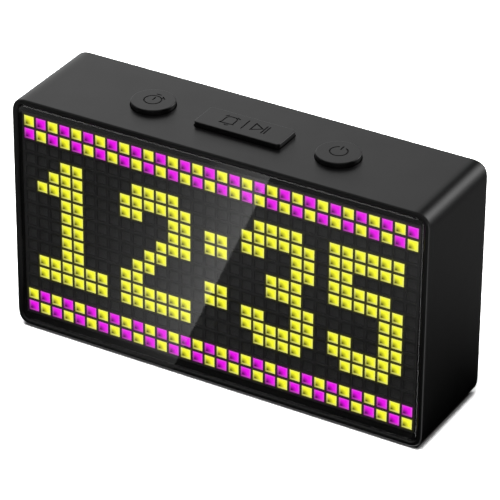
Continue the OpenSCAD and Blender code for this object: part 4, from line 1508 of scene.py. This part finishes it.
@dataclass(frozen=True)
class Cards:
    """Cards on the table that only gloss sees: the table, and what the window and the rim's left mirror.

    Each span is the start and the length of a change, in millimetres from the clock. Each edge is a place
    across the clock and its shift for each millimetre in front. Each turn is an angle round a corner.
    """

    table_z: float = 0.3
    card_z: float = 0.35
    front_light: float = 0.03
    front_gain: float = 0.2
    front_span: Flat = (50.0, 80.0)
    left_light: float = 0.4
    left_least: float = 0.03
    left_turn: float = 50.0
    corner_light: float = 2.4
    corner_turn: Flat = (38.0, 26.0)
    right_light: float = 0.115
    right_span: Flat = (8.0, 75.0)
    right_power: float = 0.7
    far_light: float = 0.77
    far_span: Flat = (300.0, 700.0)
    rest_light: float = 0.5
    rest_span: Flat = (6.0, 60.0)
    behind_turn: Flat = (15.0, 12.0)
    beside_width: Flat = (10.0, 0.5)
    strip_light: float = 1.4
    strip_span: Flat = (-1.5, -0.25)
    brow_light: float = 0.38
    brow_ends: Flat = (138.0, 147.0)
    mirrored: tuple[Mirrored, ...] = (
        Mirrored("window_card", 1.27, (-18.2, -0.281), 110.0, 3.9, (-21.7, 62.0)),
        Mirrored("rim_card", 1.0, (-82.4, -0.68), 45.0, 1.0, (15.0, 40.0)),
    )
    near_steps: tuple[float, ...] = (
        -1.6, -1.5, -0.25, -0.15, 0.0, 0.05, 1.6, 4, 6, 9, 13, 18, 24, 32, 42, 54, 68, 85, 105,
    )
    brow_steps: tuple[float, ...] = (137.0, 138.5, 146.5, 147.5)
    far_steps: tuple[float, ...] = (165, 210, 280, 400, 700, 1500)
    under_steps: tuple[float, ...] = (-42.0, 0.0, 42.0)
    card_start: float = 2.0
    card_length: float = 220.0
    card_rows: int = 16
    card_columns: int = 24

    def table(self, x: float, y: float) -> float:
        """Brightness that gloss sees on the table.

        Args:
            x: Place across the clock.
            y: Place along its depth.

        Returns:
            The brightness.
        """
        half_w, ahead = SIZES.width / 2, -SIZES.depth / 2 - y
        right, left, front = max(0.0, x - half_w), max(0.0, -half_w - x), max(0.0, ahead)
        if abs(x) < half_w and self.strip_span[0] <= ahead <= self.strip_span[1]:
            return self.strip_light
        if right > 0 and front > 0:
            middle, width = self.corner_turn
            turn = (math.degrees(math.atan2(front, right)) - middle) / width
            return max(self.front_light, self.corner_light * (1 - turn ** 2))
        if left > 0:
            turn = math.degrees(math.atan2(front, left)) / self.left_turn
            return self.left_light * max(self.left_least, 1 - turn) + self.brow(front)
        if front > 0:
            return self.front_light + self.front_gain * ramp(front, self.front_span)
        return self.behind(right, y)

    def behind(self, right: float, y: float) -> float:
        """Brightness that gloss sees on the table at the right of the clock and behind it.

        Args:
            right: Distance from its right side, or 0.
            y: Place along its depth.

        Returns:
            The brightness.
        """
        back = max(0.0, y - SIZES.depth / 2)
        away = max(right, back)
        turn, fade = self.behind_turn
        behind = (turn - math.degrees(math.atan2(right, back))) / fade
        beside = (right - SIZES.depth / 2 - y) / (self.beside_width[0] + self.beside_width[1] * right)
        rest = min(1.0, max(0.0, behind, beside)) * ramp(away, self.rest_span)
        near = ramp(away, self.right_span) ** self.right_power
        far = ramp(math.hypot(right, back), self.far_span)
        return self.right_light * near + self.far_light * far + self.rest_light * rest

    def brow(self, front: float) -> float:
        """Brightness of the strip of table that the window's top border mirrors."""
        return self.brow_light * (self.brow_ends[0] < front < self.brow_ends[1])

    def over_table(self, card: Mirrored, x: float, y: float) -> float:
        """Brightness of a card at a place across the clock and along its depth, at least the table's."""
        away = -SIZES.depth / 2 - y
        return max(card.level(x, away) + self.brow(away) * (x > -SIZES.width / 2), self.table(x, y))

    def lay(self, name: str, xs: Sequence[float], ys: Sequence[float], level: Level, *place: float) -> None:
        """Lays one card that glows with its own shades, and only in gloss.

        Args:
            name: Name of the card.
            xs: Places across the clock where its shade is set.
            ys: Places along its depth.
            level: Brightness at a place.
            place: Its height above the floor and its lean.
        """
        card, sheet = shaded_sheet(name, xs, ys, level, *place)
        sheet.swap("Emission")
        sheet.set("Color", sheet.add("Attribute", attribute_name="shade").outputs["Color"])
        card.visible_camera = card.visible_diffuse = card.visible_shadow = card.visible_transmission = False

    def build(self) -> None:
        """Lays the three cards."""
        half_w, half_d = SIZES.width / 2, SIZES.depth / 2
        steps = [*self.near_steps, *self.brow_steps, *self.far_steps]
        xs = [*(-half_w - v for v in reversed(steps)), *self.under_steps, *(half_w + v for v in steps)]
        ys = [*(-half_d - v for v in reversed(steps)), 0.0, *(half_d + v for v in steps)]
        self.lay("table_card", xs, ys, self.table, self.table_z)
        rows = [self.card_start + self.card_length * i / self.card_rows for i in range(self.card_rows + 1)]
        ys = [-half_d - row for row in sorted([*rows, *self.brow_steps])]
        for card in self.mirrored:
            columns = range(self.card_columns + 1)
            xs = [card.edge[0] - card.fade * k / self.card_columns for k in columns]
            self.lay(card.name, xs, ys, partial(self.over_table, card), self.card_z, card.edge[1])


@dataclass(frozen=True)
class PhotoCamera:
    """The camera, placed as for the photograph, and how its picture is shown."""

    azimuth: float = 29.7681
    elevation: float = 30.5316
    roll: float = 0.4623
    lens: float = 250.0424
    sensor: float = 36.0
    clip: Flat = (0.05, 50.0)
    eye: Spot = (0.5334186, -0.9292877, 0.6776657)

    def build(self) -> None:
        """Places the camera."""
        data = bpy.data.cameras.new("photo_camera")
        data.sensor_width, data.lens = self.sensor, self.lens
        data.clip_start, data.clip_end = self.clip
        camera = bpy.data.objects.new("photo_camera", data)
        bpy.context.scene.collection.objects.link(camera)
        turn = Matrix.Rotation(math.radians(self.azimuth), 4, "Z")
        turn @= Matrix.Rotation(math.radians(90 - self.elevation), 4, "X")
        turn @= Matrix.Rotation(math.radians(self.roll), 4, "Z")
        camera.matrix_world = Matrix.Translation(self.eye) @ turn
        bpy.context.scene.camera = camera
        bpy.context.scene.view_settings.view_transform = "Standard"


def main() -> None:
    """Builds the studio and the clock."""
    logging.basicConfig(level=logging.INFO, format="%(name)s: %(message)s")
    for studio_piece in (PhotoCamera(), Surroundings(), Floor(), Cards(), Lamp()):
        studio_piece.build()
    for piece in (InnerWorks(), Housing(), FrontWindow(), PixelDisplay(), TopButtons(), Feet()):
        piece.build()
    bpy.context.view_layer.update()


if __name__ == "__main__":
    main()
